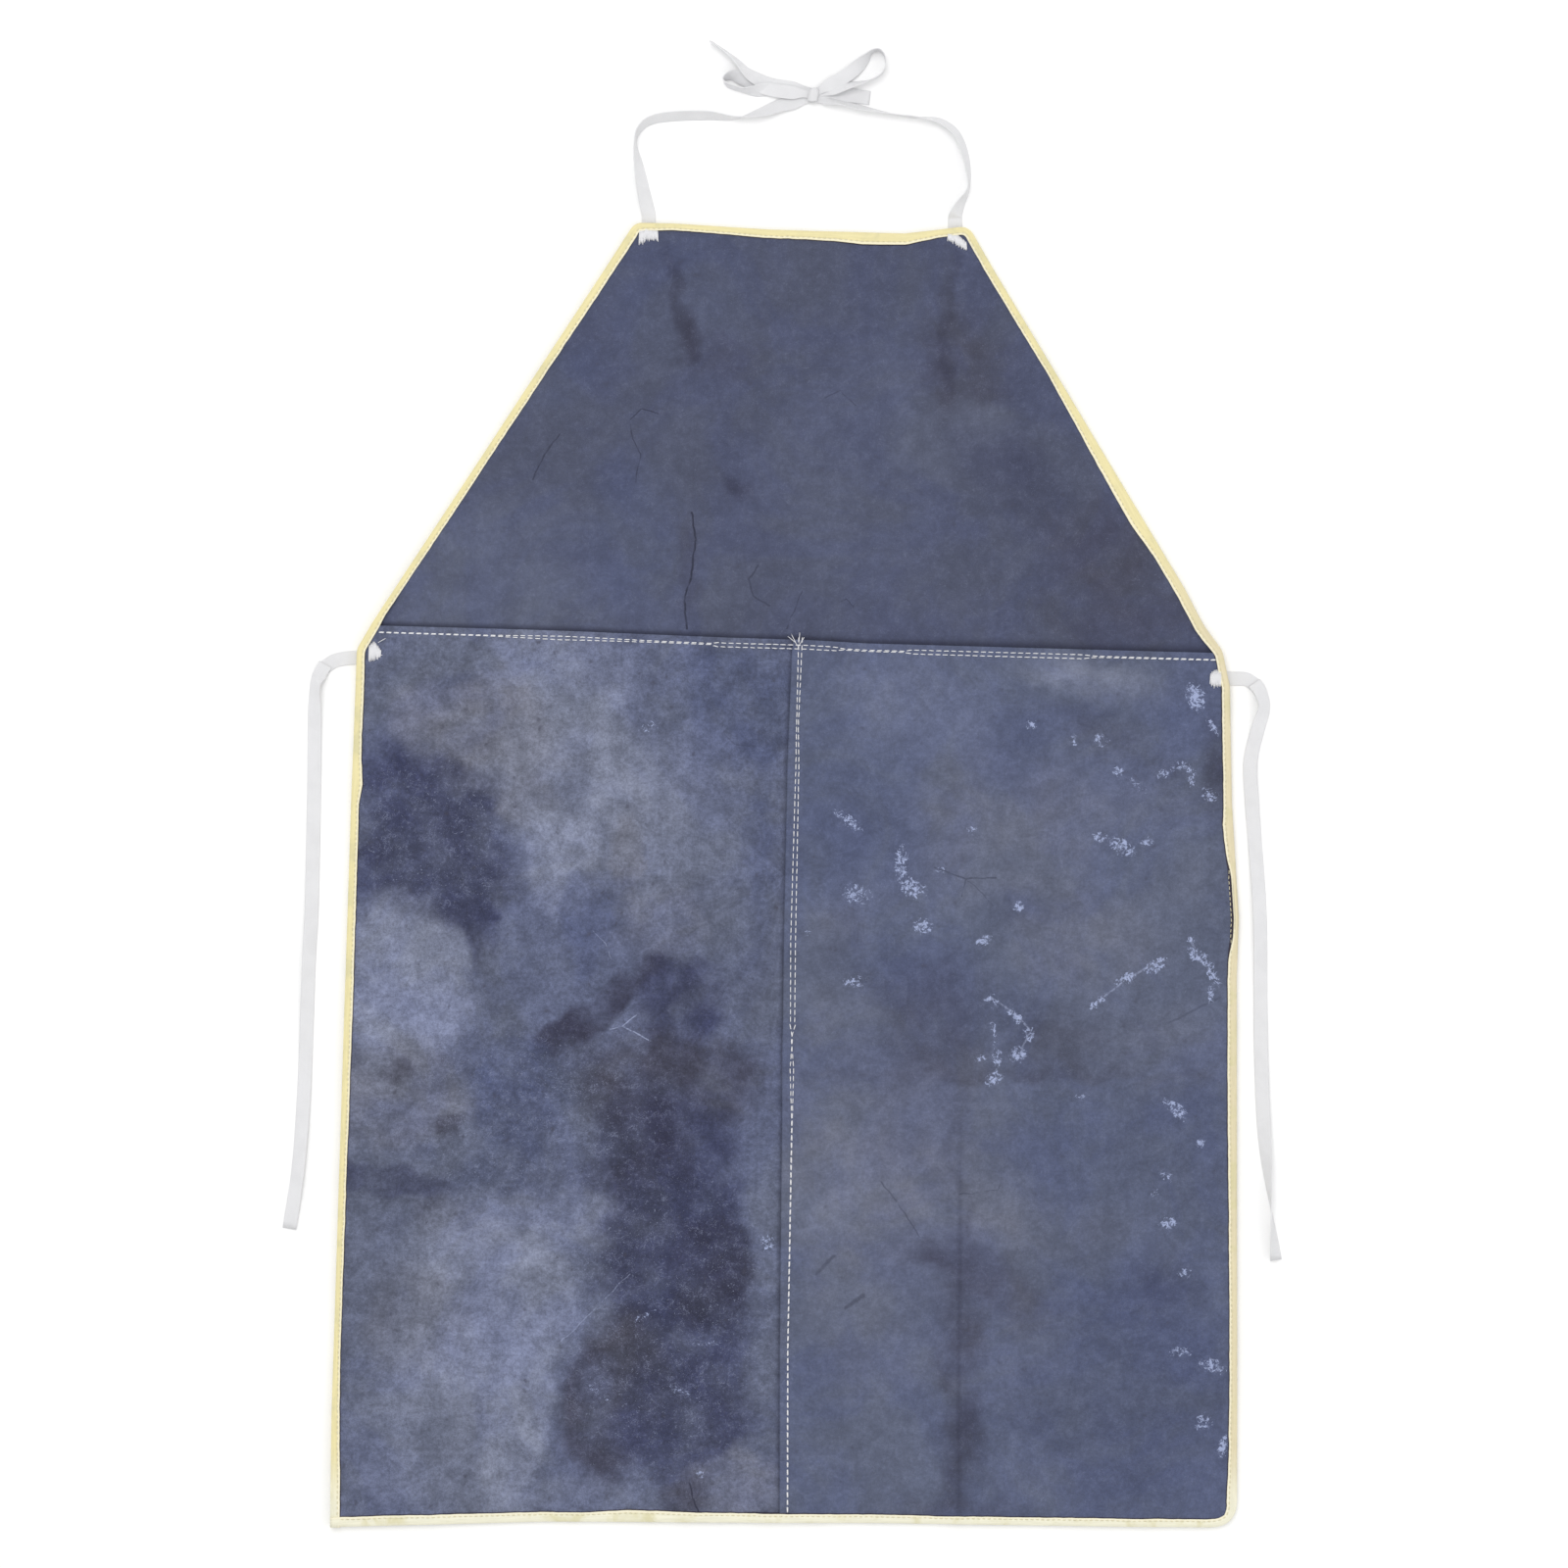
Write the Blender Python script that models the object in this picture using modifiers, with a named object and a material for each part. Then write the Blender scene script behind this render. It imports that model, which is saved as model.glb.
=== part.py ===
"""A leather welding apron lying flat with its front up: a bib over two skirt panels, a binding strip
round the whole edge, two cotton waist ties and a cotton neck tape tied in a bow. Metres, +Z up, +Y to the
top of the bib, with the origin on the surface it lies on, under the middle of the leather."""

from math import ceil, tan

import bmesh
import bpy
from mathutils import Vector

COLLECTION_NAME = "welding_apron"

# Thicknesses and widths
LEATHER = 0.0014
STRIP = 0.0006  # the binding strip, one layer
TAPE = 0.0006
TAPE_WIDTH = 0.0092
THREAD_RADIUS = 0.00025
BINDING_WIDTH = 0.0062
GAP = 0.0003  # between faces that touch
LAYER = LEATHER + 0.0004  # how far one leather layer lifts the next
INSET = 0.0012  # from the binding's outer side to the cut edge of the leather
SEAM_ALLOWANCE = 0.021  # how far the lower layer runs on under the upper one

# How high the lowest layer is lifted off the floor, and how that fades with distance from an edge or seam
RIM_RISE = TAPE + GAP + STRIP + GAP  # room for a tape and one layer of binding
SEAM_RISE = 0.0009  # room for the bobbin thread
NEAR_EDGE = (0.0, 0.0025, 0.008, 0.024, 0.037, 0.050)  # rows of points beside an edge
FULL_RISE = NEAR_EDGE[3]
NO_RISE = NEAR_EDGE[5]
WIDE_STEPS = 8  # steps across the flat middle of a panel
SETTLING = 4  # steps towards a crossing
LEAD = 0.013  # how far before a leather edge the binding and threads are already raised
LEAD_SLOPE = 0.012
HALF_WIDTH = 0.31  # just past the widest place
STATION = 0.012  # spacing of stations along the binding and the threads

# The binding's outer side: corner points, clockwise from the lower left, with the radius that rounds each
LEFT_CORNERS = (
    (-0.3050, -0.4385, 0),
    (-0.3040, -0.3610, 0),
    (-0.2910, 0.0480, 0),
    (-0.2868, 0.1500, 0.012),
    (-0.1220, 0.4050, 0),
    (-0.1002, 0.4387, 0.009),
)
TOP_CORNERS = ((-0.0740, 0.4382, 0), (-0.0080, 0.4340, 0), (0.0810, 0.4315, 0), (0.1000, 0.4335, 0))
RIGHT_CORNERS = (
    (0.1240, 0.4365, 0.010),
    (0.1420, 0.4050, 0),
    (0.2690, 0.1930, 0),
    (0.2960, 0.1560, 0.020),
    (0.2995, 0.1270, 0),
    (0.3010, 0.0480, 0),
    (0.3057, -0.0290, 0.030),
    (0.3042, -0.0700, 0.030),
    (0.3045, -0.3610, 0),
    (0.3045, -0.4385, 0.018),
)
HEM_CORNERS = ((0.2380, -0.4380, 0), (0.0660, -0.4355, 0), (-0.1580, -0.4345, 0), (-0.3050, -0.4380, 0))
ARC_STEPS = 4

# The visible edges of the two overlaps, and the line that the bib folds along
WAIST_EDGE = (
    (-0.3100, 0.1690),
    (-0.1980, 0.1660),
    (-0.1360, 0.1640),
    (-0.0400, 0.1600),
    (0.0140, 0.1583),
    (0.0550, 0.1560),
    (0.3100, 0.1490),
)
CENTRE_EDGE = ((-0.4500, -0.0026), (-0.3210, -0.0024), (-0.0440, 0.0003), (0.0750, 0.0028), (0.1700, 0.0066))
FOLD_AT_MIDDLE = 0.1628
FOLD_SLOPE = -0.0321

# Stitching, as distances in from an edge
SEAM_ROWS = {"first": 0.0037, "second": 0.0061}
BINDING_ROW = 0.0047
WAIST_THREAD_ENDS = (-0.2675, 0.2870)
CENTRE_THREAD_ENDS = (-0.4285, 0.1490)

# Bar tacks
TACK = 0.0005
WAIST_TACK_SIZE = (0.0084, 0.0110)
NECK_TACK_SIZE = (0.0108, 0.0064)
WAIST_TACKS = {"left": (-0.2728, 0.1470), "right": (0.2870, 0.1325)}
NECK_TACKS = {"left": (-0.0900, 0.4262), "right": (0.1143, 0.4223)}

# Tapes: the points that the middle of each passes through. A sewn end lies under the leather
TAPE_STEPS = 5  # stations between two route points
SEWN_CLEAR = 0.0080  # from the outer side to where the tape is clear of the binding
SEWN_CLIMB = 0.0050
TIE_LIFTED_POINTS = 3  # the first points of a tie, which lie on top of its sewn end
SEWN_ENDS = {
    "tie_left_sewn_end": (
        (-0.2640, 0.1462), (-0.2740, 0.1462), (-0.2900, 0.1464), (-0.3020, 0.1445), (-0.3100, 0.1395),
    ),
    "tie_right_sewn_end": (
        (0.2760, 0.1330), (0.2860, 0.1328), (0.3030, 0.1324), (0.3115, 0.1318), (0.3185, 0.1270),
    ),
    "neck_tape_left_sewn_end": ((-0.0912, 0.4170), (-0.0912, 0.4260), (-0.0912, 0.4412)),
    "neck_tape_right_sewn_end": ((0.1152, 0.4150), (0.1152, 0.4240), (0.1152, 0.4412)),
}
TIES = {
    "tie_left": (
        (-0.3085, 0.1420), (-0.3125, 0.1350), (-0.3155, 0.1260), (-0.3160, 0.1000), (-0.3165, 0.0510),
        (-0.3180, -0.0220), (-0.3200, -0.0620), (-0.3230, -0.1430), (-0.3270, -0.1970), (-0.3330, -0.2380),
    ),
    "tie_right": (
        (0.3165, 0.1295), (0.3205, 0.1235), (0.3230, 0.1130), (0.3190, 0.0980), (0.3140, 0.0760),
        (0.3150, 0.0480), (0.3170, 0.0230), (0.3205, -0.0310), (0.3210, -0.1100), (0.3230, -0.1680),
        (0.3265, -0.2130), (0.3310, -0.2590),
    ),
}
TIE_PIVOTS = {"tie_left": (-0.3100, 0.1400, 0), "tie_right": (0.3180, 0.1280, 0)}
NECK_TAPES = {
    "neck_tape_left": (
        (-0.0912, 0.4418), (-0.0912, 0.4460), (-0.0945, 0.4600), (-0.0980, 0.4790), (-0.1000, 0.4930), (-0.0970, 0.5020),
        (-0.0890, 0.5080), (-0.0740, 0.5105), (-0.0510, 0.5110), (-0.0320, 0.5100), (-0.0120, 0.5148),
        (0.0020, 0.5188), (0.0154, 0.5208),
    ),
    "neck_tape_right": (
        (0.1152, 0.4418), (0.1152, 0.4450), (0.1195, 0.4520), (0.1240, 0.4620), (0.1230, 0.4755), (0.1200, 0.4890),
        (0.1140, 0.5000), (0.1060, 0.5070), (0.0920, 0.5100), (0.0750, 0.5125), (0.0560, 0.5155),
        (0.0400, 0.5186), (0.0240, 0.5208),
    ),
}
GATHER_LENGTH = 0.035  # over which a neck tape narrows into the knot
GATHERED_WIDTH = 0.0026
NECK_PIVOT = (0, 0.4415, 0.0046)

# The bow, where the tape is bunched into a cord
BOW_RADIUS = 0.0010
KNOT_CENTRE = (0.0197, 0.5247, 0.0022)
KNOT_SIZE = (0.0080, 0.0112, 0.0044)
KNOT_ROUNDING = 0.0012
BOW = {
    "bow_loop_left": (
        (0.0154, 0.5265), (0.0020, 0.5285), (-0.0080, 0.5300), (-0.0195, 0.5335), (-0.0290, 0.5365),
        (-0.0370, 0.5370), (-0.0406, 0.5340), (-0.0370, 0.5303), (-0.0290, 0.5275), (-0.0190, 0.5258),
        (-0.0060, 0.5244), (0.0154, 0.5238),
    ),
    "bow_loop_right": (
        (0.0240, 0.5292), (0.0330, 0.5345), (0.0430, 0.5425), (0.0520, 0.5500), (0.0600, 0.5550),
        (0.0665, 0.5525), (0.0685, 0.5465), (0.0655, 0.5400), (0.0570, 0.5353), (0.0450, 0.5318),
        (0.0350, 0.5290), (0.0240, 0.5265),
    ),
    "bow_tail_left": (
        (0.0154, 0.5293), (0.0020, 0.5313), (-0.0080, 0.5340), (-0.0180, 0.5395), (-0.0275, 0.5460),
        (-0.0370, 0.5535), (-0.0495, 0.5611),
    ),
    "bow_tail_right": ((0.0240, 0.5236), (0.0330, 0.5252), (0.0420, 0.5258), (0.0590, 0.5240)),
}


# Reading the outline


def along(points, at):
    """The value at a place, read from (place, value) pairs whose places rise, and held past both ends."""
    if at <= points[0][0]:
        return points[0][1]
    for (start, low), (end, high) in zip(points, points[1:]):
        if at <= end:
            return low + (high - low) * (at - start) / (end - start)
    return points[-1][1]


def rounded(corners):
    """The polyline through corner points, with a curve in place of each corner that has a radius."""
    points = []
    for i, (x, y, radius) in enumerate(corners):
        here = Vector((x, y))
        if radius == 0:
            points.append(here)
            continue
        before = (Vector(corners[i - 1][:2]) - here).normalized()
        after = (Vector(corners[i + 1][:2]) - here).normalized()
        reach = radius * tan(after.angle(-before) / 2)
        for step in range(ARC_STEPS + 1):
            t = step / ARC_STEPS
            points.append(here + before * reach * (1 - t) ** 2 + after * reach * t**2)
    return points


OUTLINE = rounded(LEFT_CORNERS + TOP_CORNERS + RIGHT_CORNERS + HEM_CORNERS)
LEFT_CHAIN = sorted((p.y, p.x) for p in rounded(LEFT_CORNERS + TOP_CORNERS[:1])[:-1])
RIGHT_CHAIN = sorted((p.y, p.x) for p in rounded(TOP_CORNERS[-1:] + RIGHT_CORNERS + HEM_CORNERS[:1])[1:-1])
TOP_CHAIN = [(x, y) for x, y, _ in LEFT_CORNERS[-1:] + TOP_CORNERS + RIGHT_CORNERS[:1]]
HEM_CHAIN = [(x, y) for x, y, _ in reversed(RIGHT_CORNERS[-1:] + HEM_CORNERS)]


def left_edge(y):
    return along(LEFT_CHAIN, y)


def right_edge(y):
    return along(RIGHT_CHAIN, y)


def top_edge(x):
    return along(TOP_CHAIN, x)


def hem_edge(x):
    return along(HEM_CHAIN, x)


def waist_edge(x):
    return along(WAIST_EDGE, x)


def centre_edge(y):
    return along(CENTRE_EDGE, y)


def fold_line(x):
    return FOLD_AT_MIDDLE + FOLD_SLOPE * x


def depth(x, y):
    """How far in from the outer side a place is, and negative outside."""
    return min(x - left_edge(y), right_edge(y) - x, top_edge(x) - y, y - hem_edge(x))


# Heights of the layers


def share(value):
    """A value held between 0 and 1."""
    return max(0.0, min(1.0, value))


def fading(distance):
    """1 beside an edge or seam, fading to 0 in the flat middle of a panel."""
    return share((NO_RISE - distance) / (NO_RISE - FULL_RISE))


def leading(distance):
    """1 from an edge to a little before it, so that what crosses the edge is already raised there."""
    return share(1 - (distance - LEAD) / LEAD_SLOPE)


def ground(x, y):
    """The underside of the lowest leather layer."""
    below_waist = waist_edge(x) - y
    seam = fading(abs(below_waist))
    if below_waist > 0:
        seam = max(seam, fading(abs(x - centre_edge(y))))
    return max(RIM_RISE * fading(depth(x, y)), SEAM_RISE * seam)


def left_underside(x, y):
    return ground(x, y) + LAYER * fading(waist_edge(x) - y)


def right_underside(x, y):
    return left_underside(x, y) + LAYER * fading(x - centre_edge(y))


def front_face(x, y):
    """The face of the top layer, raised a little before each place where it steps up."""
    below_waist = waist_edge(x) - y
    past_centre = x - centre_edge(y)
    waist_step = fading(below_waist) if below_waist > 0 else leading(-below_waist)
    centre_step = fading(past_centre) if past_centre > 0 else leading(-past_centre)
    if below_waist < -LEAD - LEAD_SLOPE:
        centre_step = 0
    return ground(x, y) + LAYER * (waist_step + centre_step) + LEATHER


# Making objects


def material(name, colour, roughness):
    made = bpy.data.materials.new(name)
    made.use_nodes = True
    shader = made.node_tree.nodes["Principled BSDF"]
    shader.inputs["Base Color"].default_value = (*colour, 1)
    shader.inputs["Roughness"].default_value = roughness
    shader.inputs["Metallic"].default_value = 0
    return made


def leather_material(name):
    return material(f"{name}_leather", (0.115, 0.127, 0.215), 0.85)


def binding_material(name):
    return material(f"{name}_vinyl", (0.80, 0.72, 0.39), 0.50)


def cotton_material(name):
    return material(f"{name}_cotton", (0.80, 0.81, 0.83), 0.90)


def in_collection(thing):
    bpy.data.collections[COLLECTION_NAME].objects.link(thing)
    return thing


def about(thing, pivot):
    """Moves an object's origin to a pivot, leaving its shape where it is."""
    for vertex in thing.data.vertices:
        vertex.co -= Vector(pivot)
    thing.location = pivot
    return thing


def sheet(name, columns, rows, place, thickness, offset, surface):
    """A thin sheet: a grid whose points go where place(column, row) says, made solid."""
    mesh = bpy.data.meshes.new(name)
    grid = bmesh.new()
    bmesh.ops.create_grid(grid, x_segments=columns - 1, y_segments=rows - 1, size=0.5)
    for vertex in grid.verts:
        column = round((vertex.co.x + 0.5) * (columns - 1))
        row = round((vertex.co.y + 0.5) * (rows - 1))
        vertex.co = place(column, row)
    grid.to_mesh(mesh)
    grid.free()
    mesh.materials.append(surface)
    made = in_collection(bpy.data.objects.new(name, mesh))
    solid = made.modifiers.new("thickness", "SOLIDIFY")
    solid.thickness = thickness
    solid.offset = offset
    solid.use_even_offset = True
    return made


def wire(name, points, radius, resolution, surface):
    """A cord along a polyline, with capped ends."""
    curve = bpy.data.curves.new(name, "CURVE")
    curve.dimensions = "3D"
    curve.bevel_depth = radius
    curve.bevel_resolution = resolution
    curve.use_fill_caps = True
    spline = curve.splines.new("POLY")
    spline.points.add(len(points) - 1)
    for target, point in zip(spline.points, points):
        target.co = (*point, 1)
    curve.materials.append(surface)
    return in_collection(bpy.data.objects.new(name, curve))


def box(name, centre, size, rounding, surface):
    """A block with rounded edges."""
    mesh = bpy.data.meshes.new(name)
    cube = bmesh.new()
    bmesh.ops.create_cube(cube, size=1)
    bmesh.ops.scale(cube, vec=size, verts=cube.verts)
    cube.to_mesh(mesh)
    cube.free()
    mesh.materials.append(surface)
    made = in_collection(bpy.data.objects.new(name, mesh))
    made.location = centre
    bevel = made.modifiers.new("rounding", "BEVEL")
    bevel.width = rounding
    bevel.segments = 2
    return made


# Leather


def spread(low, high):
    """Places from low to high, closer together near both ends."""
    start = low + NO_RISE
    end = high - NO_RISE
    middle = [start + (end - start) * k / WIDE_STEPS for k in range(1, WIDE_STEPS)]
    return [low + step for step in NEAR_EDGE] + middle + [high - step for step in reversed(NEAR_EDGE)]


def panel(name, sides, ends, bound, underside):
    """A leather panel between two side edges and two end edges. bound says which of the left, right, lower
    and upper edges lie inside the binding, and so stop short of its outer side."""
    left, right = sides
    low, high = ends
    short = [INSET if edge else 0 for edge in bound]
    count = len(spread(0, 1))

    def row_end(side, x, row):
        """Where a row of points meets a side edge, found by coming closer to it from a first guess."""
        for _ in range(SETTLING):
            x = side(spread(low(x), high(x))[row])
        return x

    def place(column, row):
        start = row_end(left, -HALF_WIDTH, row) + short[0]
        end = row_end(right, HALF_WIDTH, row) - short[1]
        x = spread(start, end)[column]
        y = spread(low(x) + short[2], high(x) - short[3])[row]
        return Vector((x, y, underside(x, y)))

    return sheet(name, count, count, place, LEATHER, 1, leather_material(name))


def bib_panel():
    def low(x):
        return fold_line(x) + GAP / 2

    panel("bib_panel", (left_edge, right_edge), (low, top_edge), (True, True, False, True), ground)


def bib_seam_allowance():
    """The bib's lower edge, from the fold down to its cut edge under the skirt panels."""
    rows = 4
    columns = len(spread(0, 1))

    def place(column, row):
        t = row / (rows - 1)
        heights = []
        for x in (-HALF_WIDTH, HALF_WIDTH):
            low = waist_edge(x) - SEAM_ALLOWANCE
            heights.append(low + (fold_line(x) - GAP / 2 - low) * t)
        x = spread(left_edge(heights[0]) + INSET, right_edge(heights[1]) - INSET)[column]
        low = waist_edge(x) - SEAM_ALLOWANCE
        y = low + (fold_line(x) - GAP / 2 - low) * t
        return Vector((x, y, ground(x, y)))

    name = "bib_seam_allowance"
    sheet(name, columns, rows, place, LEATHER, 1, leather_material(name))


def skirt_panels():
    def hidden_edge(y):
        return centre_edge(y) + SEAM_ALLOWANCE

    ends = (hem_edge, waist_edge)
    panel("skirt_panel_left", (left_edge, hidden_edge), ends, (True, False, True, False), left_underside)
    panel("skirt_panel_right", (centre_edge, right_edge), ends, (False, True, True, False), right_underside)


# Binding and stitching


def stationed(points):
    """A polyline with further points on its long stretches, no more than STATION apart."""
    stations = []
    for a, b in zip(points, points[1:]):
        count = ceil((b - a).length / STATION)
        stations += [a + (b - a) * k / count for k in range(count)]
    return stations + [points[-1]]


def outline_parts():
    """The outline cut where it crosses the fold line: left side of the skirt, bib, right side and hem."""
    parts = [[OUTLINE[0]]]
    for a, b in zip(OUTLINE, OUTLINE[1:]):
        above_a = a.y - fold_line(a.x)
        above_b = b.y - fold_line(b.x)
        if above_a * above_b < 0:
            middle = a + (b - a) * above_a / (above_a - above_b)
            step = (b - a).normalized() * GAP / 2
            parts[-1].append(middle - step)
            parts.append([middle + step])
        parts[-1].append(b)
    lip = LEFT_CORNERS[0][0] + BINDING_WIDTH + GAP
    parts[-1][-1] = Vector((lip, hem_edge(lip)))
    return dict(zip(("skirt_left", "bib", "skirt_right"), parts))


def inward(stations, k):
    """The level way into the leather at a station, as long as it takes to go one metre in from the outer
    side. On the fold line it runs along that line, so that the strip is cut there."""
    ahead = stations[min(k + 1, len(stations) - 1)] - stations[max(k - 1, 0)]
    square = Vector((ahead.y, -ahead.x)).normalized()
    here = stations[k]
    if abs(here.y - fold_line(here.x)) > GAP:
        return square
    fold = Vector((1, FOLD_SLOPE))
    return fold / fold.dot(square)


def binding(part, stations):
    """The strip folded round the edge: from its lip on the front, round the edge, to its lip on the back."""

    def place(column, row):
        into = inward(stations, column)
        edge = stations[column]
        inner = edge + into * INSET
        front = front_face(inner.x, inner.y) + GAP
        back = RIM_RISE - GAP
        depths = (BINDING_WIDTH, INSET - GAP, STRIP, INSET - GAP, BINDING_WIDTH)
        heights = (front, front, (front + back) / 2, back, back)
        point = edge + into * depths[row]
        return Vector((*point, heights[row]))

    name = f"binding_{part}"
    return sheet(name, len(stations), 5, place, STRIP, 1, binding_material(name))


def binding_thread(part, stations):
    """The row that holds the strip down, lying on its front."""
    points = []
    for k, edge in enumerate(stations):
        into = inward(stations, k)
        inner = edge + into * INSET
        height = front_face(inner.x, inner.y) + GAP + STRIP + GAP + THREAD_RADIUS
        points.append(Vector((*(edge + into * BINDING_ROW), height)))
    name = f"binding_thread_{part}"
    wire(name, points, THREAD_RADIUS, 0, cotton_material(name))


def bindings():
    for part, points in outline_parts().items():
        stations = stationed(points)
        binding(part, stations)
        binding_thread(part, stations[1:-1])


def seam_thread(name, path):
    """A face thread on the leather and a bobbin thread under it, along the same level path."""
    face = []
    bobbin = []
    for x, y in path:
        face.append((x, y, front_face(x, y) + GAP + THREAD_RADIUS))
        bobbin.append((x, y, ground(x, y) - GAP - THREAD_RADIUS))
    wire(f"{name}_face", face, THREAD_RADIUS, 0, cotton_material(f"{name}_face"))
    wire(f"{name}_bobbin", bobbin, THREAD_RADIUS, 0, cotton_material(f"{name}_bobbin"))


def seam_threads():
    for row, inset in SEAM_ROWS.items():
        start, end = WAIST_THREAD_ENDS
        count = round((end - start) / STATION)
        places = [start + (end - start) * k / count for k in range(count + 1)]
        seam_thread(f"waist_thread_{row}", [(x, waist_edge(x) - inset) for x in places])
        start, end = CENTRE_THREAD_ENDS
        count = round((end - start) / STATION)
        places = [start + (end - start) * k / count for k in range(count + 1)]
        seam_thread(f"centre_thread_{row}", [(centre_edge(y) + inset, y) for y in places])


def bar_tacks():
    for place, tacks, size in (("tie", WAIST_TACKS, WAIST_TACK_SIZE), ("neck", NECK_TACKS, NECK_TACK_SIZE)):
        for side, (x, y) in tacks.items():
            name = f"bar_tack_{place}_{side}"
            height = front_face(x, y) + GAP + TACK / 2
            box(name, (x, y, height), (*size, TACK), TACK / 3, cotton_material(name))


# Tapes


def smooth(route):
    """Points on a Catmull-Rom curve through the route, kept off the floor."""
    route = [Vector(point) for point in route]
    ends = [route[0] * 2 - route[1]] + route + [route[-1] * 2 - route[-2]]
    points = []
    for a, b, c, d in zip(ends, ends[1:], ends[2:], ends[3:]):
        for step in range(TAPE_STEPS):
            t = step / TAPE_STEPS
            point = 0.5 * (2 * b + (c - a) * t + (2 * a - 5 * b + 4 * c - d) * t**2
                           + (3 * b - a - 3 * c + d) * t**3)
            point.z = max(point.z, TAPE / 2)
            points.append(point)
    return points + [route[-1]]


def tape(name, points, widths):
    """A flat tape along points, with its width at each."""

    def place(column, row):
        ahead = points[min(column + 1, len(points) - 1)] - points[max(column - 1, 0)]
        across = Vector((-ahead.y, ahead.x, 0)).normalized() * widths[column]
        return points[column] + across * (row - 0.5)

    return sheet(name, len(points), 2, place, TAPE, 0, cotton_material(name))


def sewn_ends():
    """The tape ends that are sewn under the leather. Each drops to pass under the binding."""
    climb = RIM_RISE - GAP - TAPE
    for name, route in SEWN_ENDS.items():
        points = smooth([(x, y, TAPE / 2) for x, y in route])
        for point in points:
            point.z += climb * share((depth(point.x, point.y) - SEWN_CLEAR) / SEWN_CLIMB)
        tape(name, points, [TAPE_WIDTH] * len(points))


def ties():
    """The hanging part of each waist tie. It starts folded over its sewn end and then lies on the floor."""
    for name, route in TIES.items():
        lifts = [TAPE + GAP if k < TIE_LIFTED_POINTS else 0 for k in range(len(route))]
        points = smooth([(x, y, TAPE / 2 + lift) for (x, y), lift in zip(route, lifts)])
        about(tape(name, points, [TAPE_WIDTH] * len(points)), TIE_PIVOTS[name])


def neck_tapes():
    """The neck tape's two halves, from the binding to the knot, where they are gathered narrow."""
    for name, route in NECK_TAPES.items():
        points = smooth([(x, y, TAPE / 2) for x, y in route])
        widths = []
        for point in points:
            full = share((point - points[-1]).length / GATHER_LENGTH)
            widths.append(GATHERED_WIDTH + (TAPE_WIDTH - GATHERED_WIDTH) * full)
        about(tape(name, points, widths), NECK_PIVOT)


def bow():
    """The knot, two loops and two tails."""
    box("bow_knot", KNOT_CENTRE, KNOT_SIZE, KNOT_ROUNDING, cotton_material("bow_knot"))
    for name, route in BOW.items():
        points = [Vector((p.x, p.y, BOW_RADIUS)) for p in smooth([(x, y, 0) for x, y in route])]
        wire(name, points, BOW_RADIUS, 1, cotton_material(name))


def main():
    for old in list(bpy.data.objects):
        bpy.data.objects.remove(old, do_unlink=True)
    bpy.context.scene.collection.children.link(bpy.data.collections.new(COLLECTION_NAME))
    bib_panel()
    bib_seam_allowance()
    skirt_panels()
    bindings()
    seam_threads()
    bar_tacks()
    sewn_ends()
    ties()
    neck_tapes()
    bow()


main()
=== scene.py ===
"""The looks of a leather welding apron that lies flat with its front up: stained split leather, a vinyl
binding strip, white stitching, two cotton waist ties and a neck tape tied in a bow. They are built round the
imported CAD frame, in its own frame: +Z up, +Y to the top of the bib. Lengths are in metres, but the tables of
marks on the leather are in millimetres."""

from functools import partial
from math import ceil, cos, exp, pi, radians, sin, tan

import bpy
import numpy as np
from mathutils import Matrix, Vector, noise


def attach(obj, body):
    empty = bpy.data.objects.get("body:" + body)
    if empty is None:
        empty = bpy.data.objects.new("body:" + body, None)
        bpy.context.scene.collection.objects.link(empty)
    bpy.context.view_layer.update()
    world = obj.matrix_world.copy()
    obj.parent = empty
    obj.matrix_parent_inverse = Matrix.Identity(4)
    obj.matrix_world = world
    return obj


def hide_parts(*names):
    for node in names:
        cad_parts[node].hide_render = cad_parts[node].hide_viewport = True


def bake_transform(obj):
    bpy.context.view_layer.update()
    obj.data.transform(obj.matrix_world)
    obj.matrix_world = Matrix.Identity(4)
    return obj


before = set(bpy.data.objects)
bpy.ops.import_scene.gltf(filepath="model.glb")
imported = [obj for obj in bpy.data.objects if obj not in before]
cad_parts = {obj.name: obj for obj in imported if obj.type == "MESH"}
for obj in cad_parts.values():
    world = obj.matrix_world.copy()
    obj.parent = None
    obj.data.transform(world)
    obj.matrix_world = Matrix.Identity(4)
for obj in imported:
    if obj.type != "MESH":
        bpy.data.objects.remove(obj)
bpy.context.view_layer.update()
PER_METRE = 1000  # millimetres

# Camera: straight above, with the whole apron in a square picture
PICTURE_CENTRE = (0.0, 0.0614)
PICTURE_WIDTH = 1.056
LENS = 100
SENSOR = 36

# Thicknesses and widths, as in the CAD
LEATHER = 0.0014
STRIP = 0.0006
TAPE = 0.0006
TAPE_WIDTH = 0.0092
BINDING_WIDTH = 0.0062
GAP = 0.0003  # between pieces that touch
LAYER = LEATHER + 0.0004  # how much each overlap raises the leather on it
INSET = 0.0012  # of the leather's edge inside the strip
SEAM_ALLOWANCE = 0.021
RIM_RISE = TAPE + GAP + STRIP + GAP  # of the leather's edge, over the strip and a tape
SEAM_RISE = 0.0009  # of the leather along a seam, over the bobbin threads
FULL_RISE = 0.024  # as far as this from an edge or seam the leather is raised in full
NO_RISE = 0.05  # and from here on it lies flat
LEAD = 0.013  # the face is raised in full this far before an overlap's step
LEAD_SLOPE = 0.012  # and comes up over this much more
HALF_WIDTH = 0.31  # where the search for the ends of a row of points starts
SETTLING = 4  # rounds of that search

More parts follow.
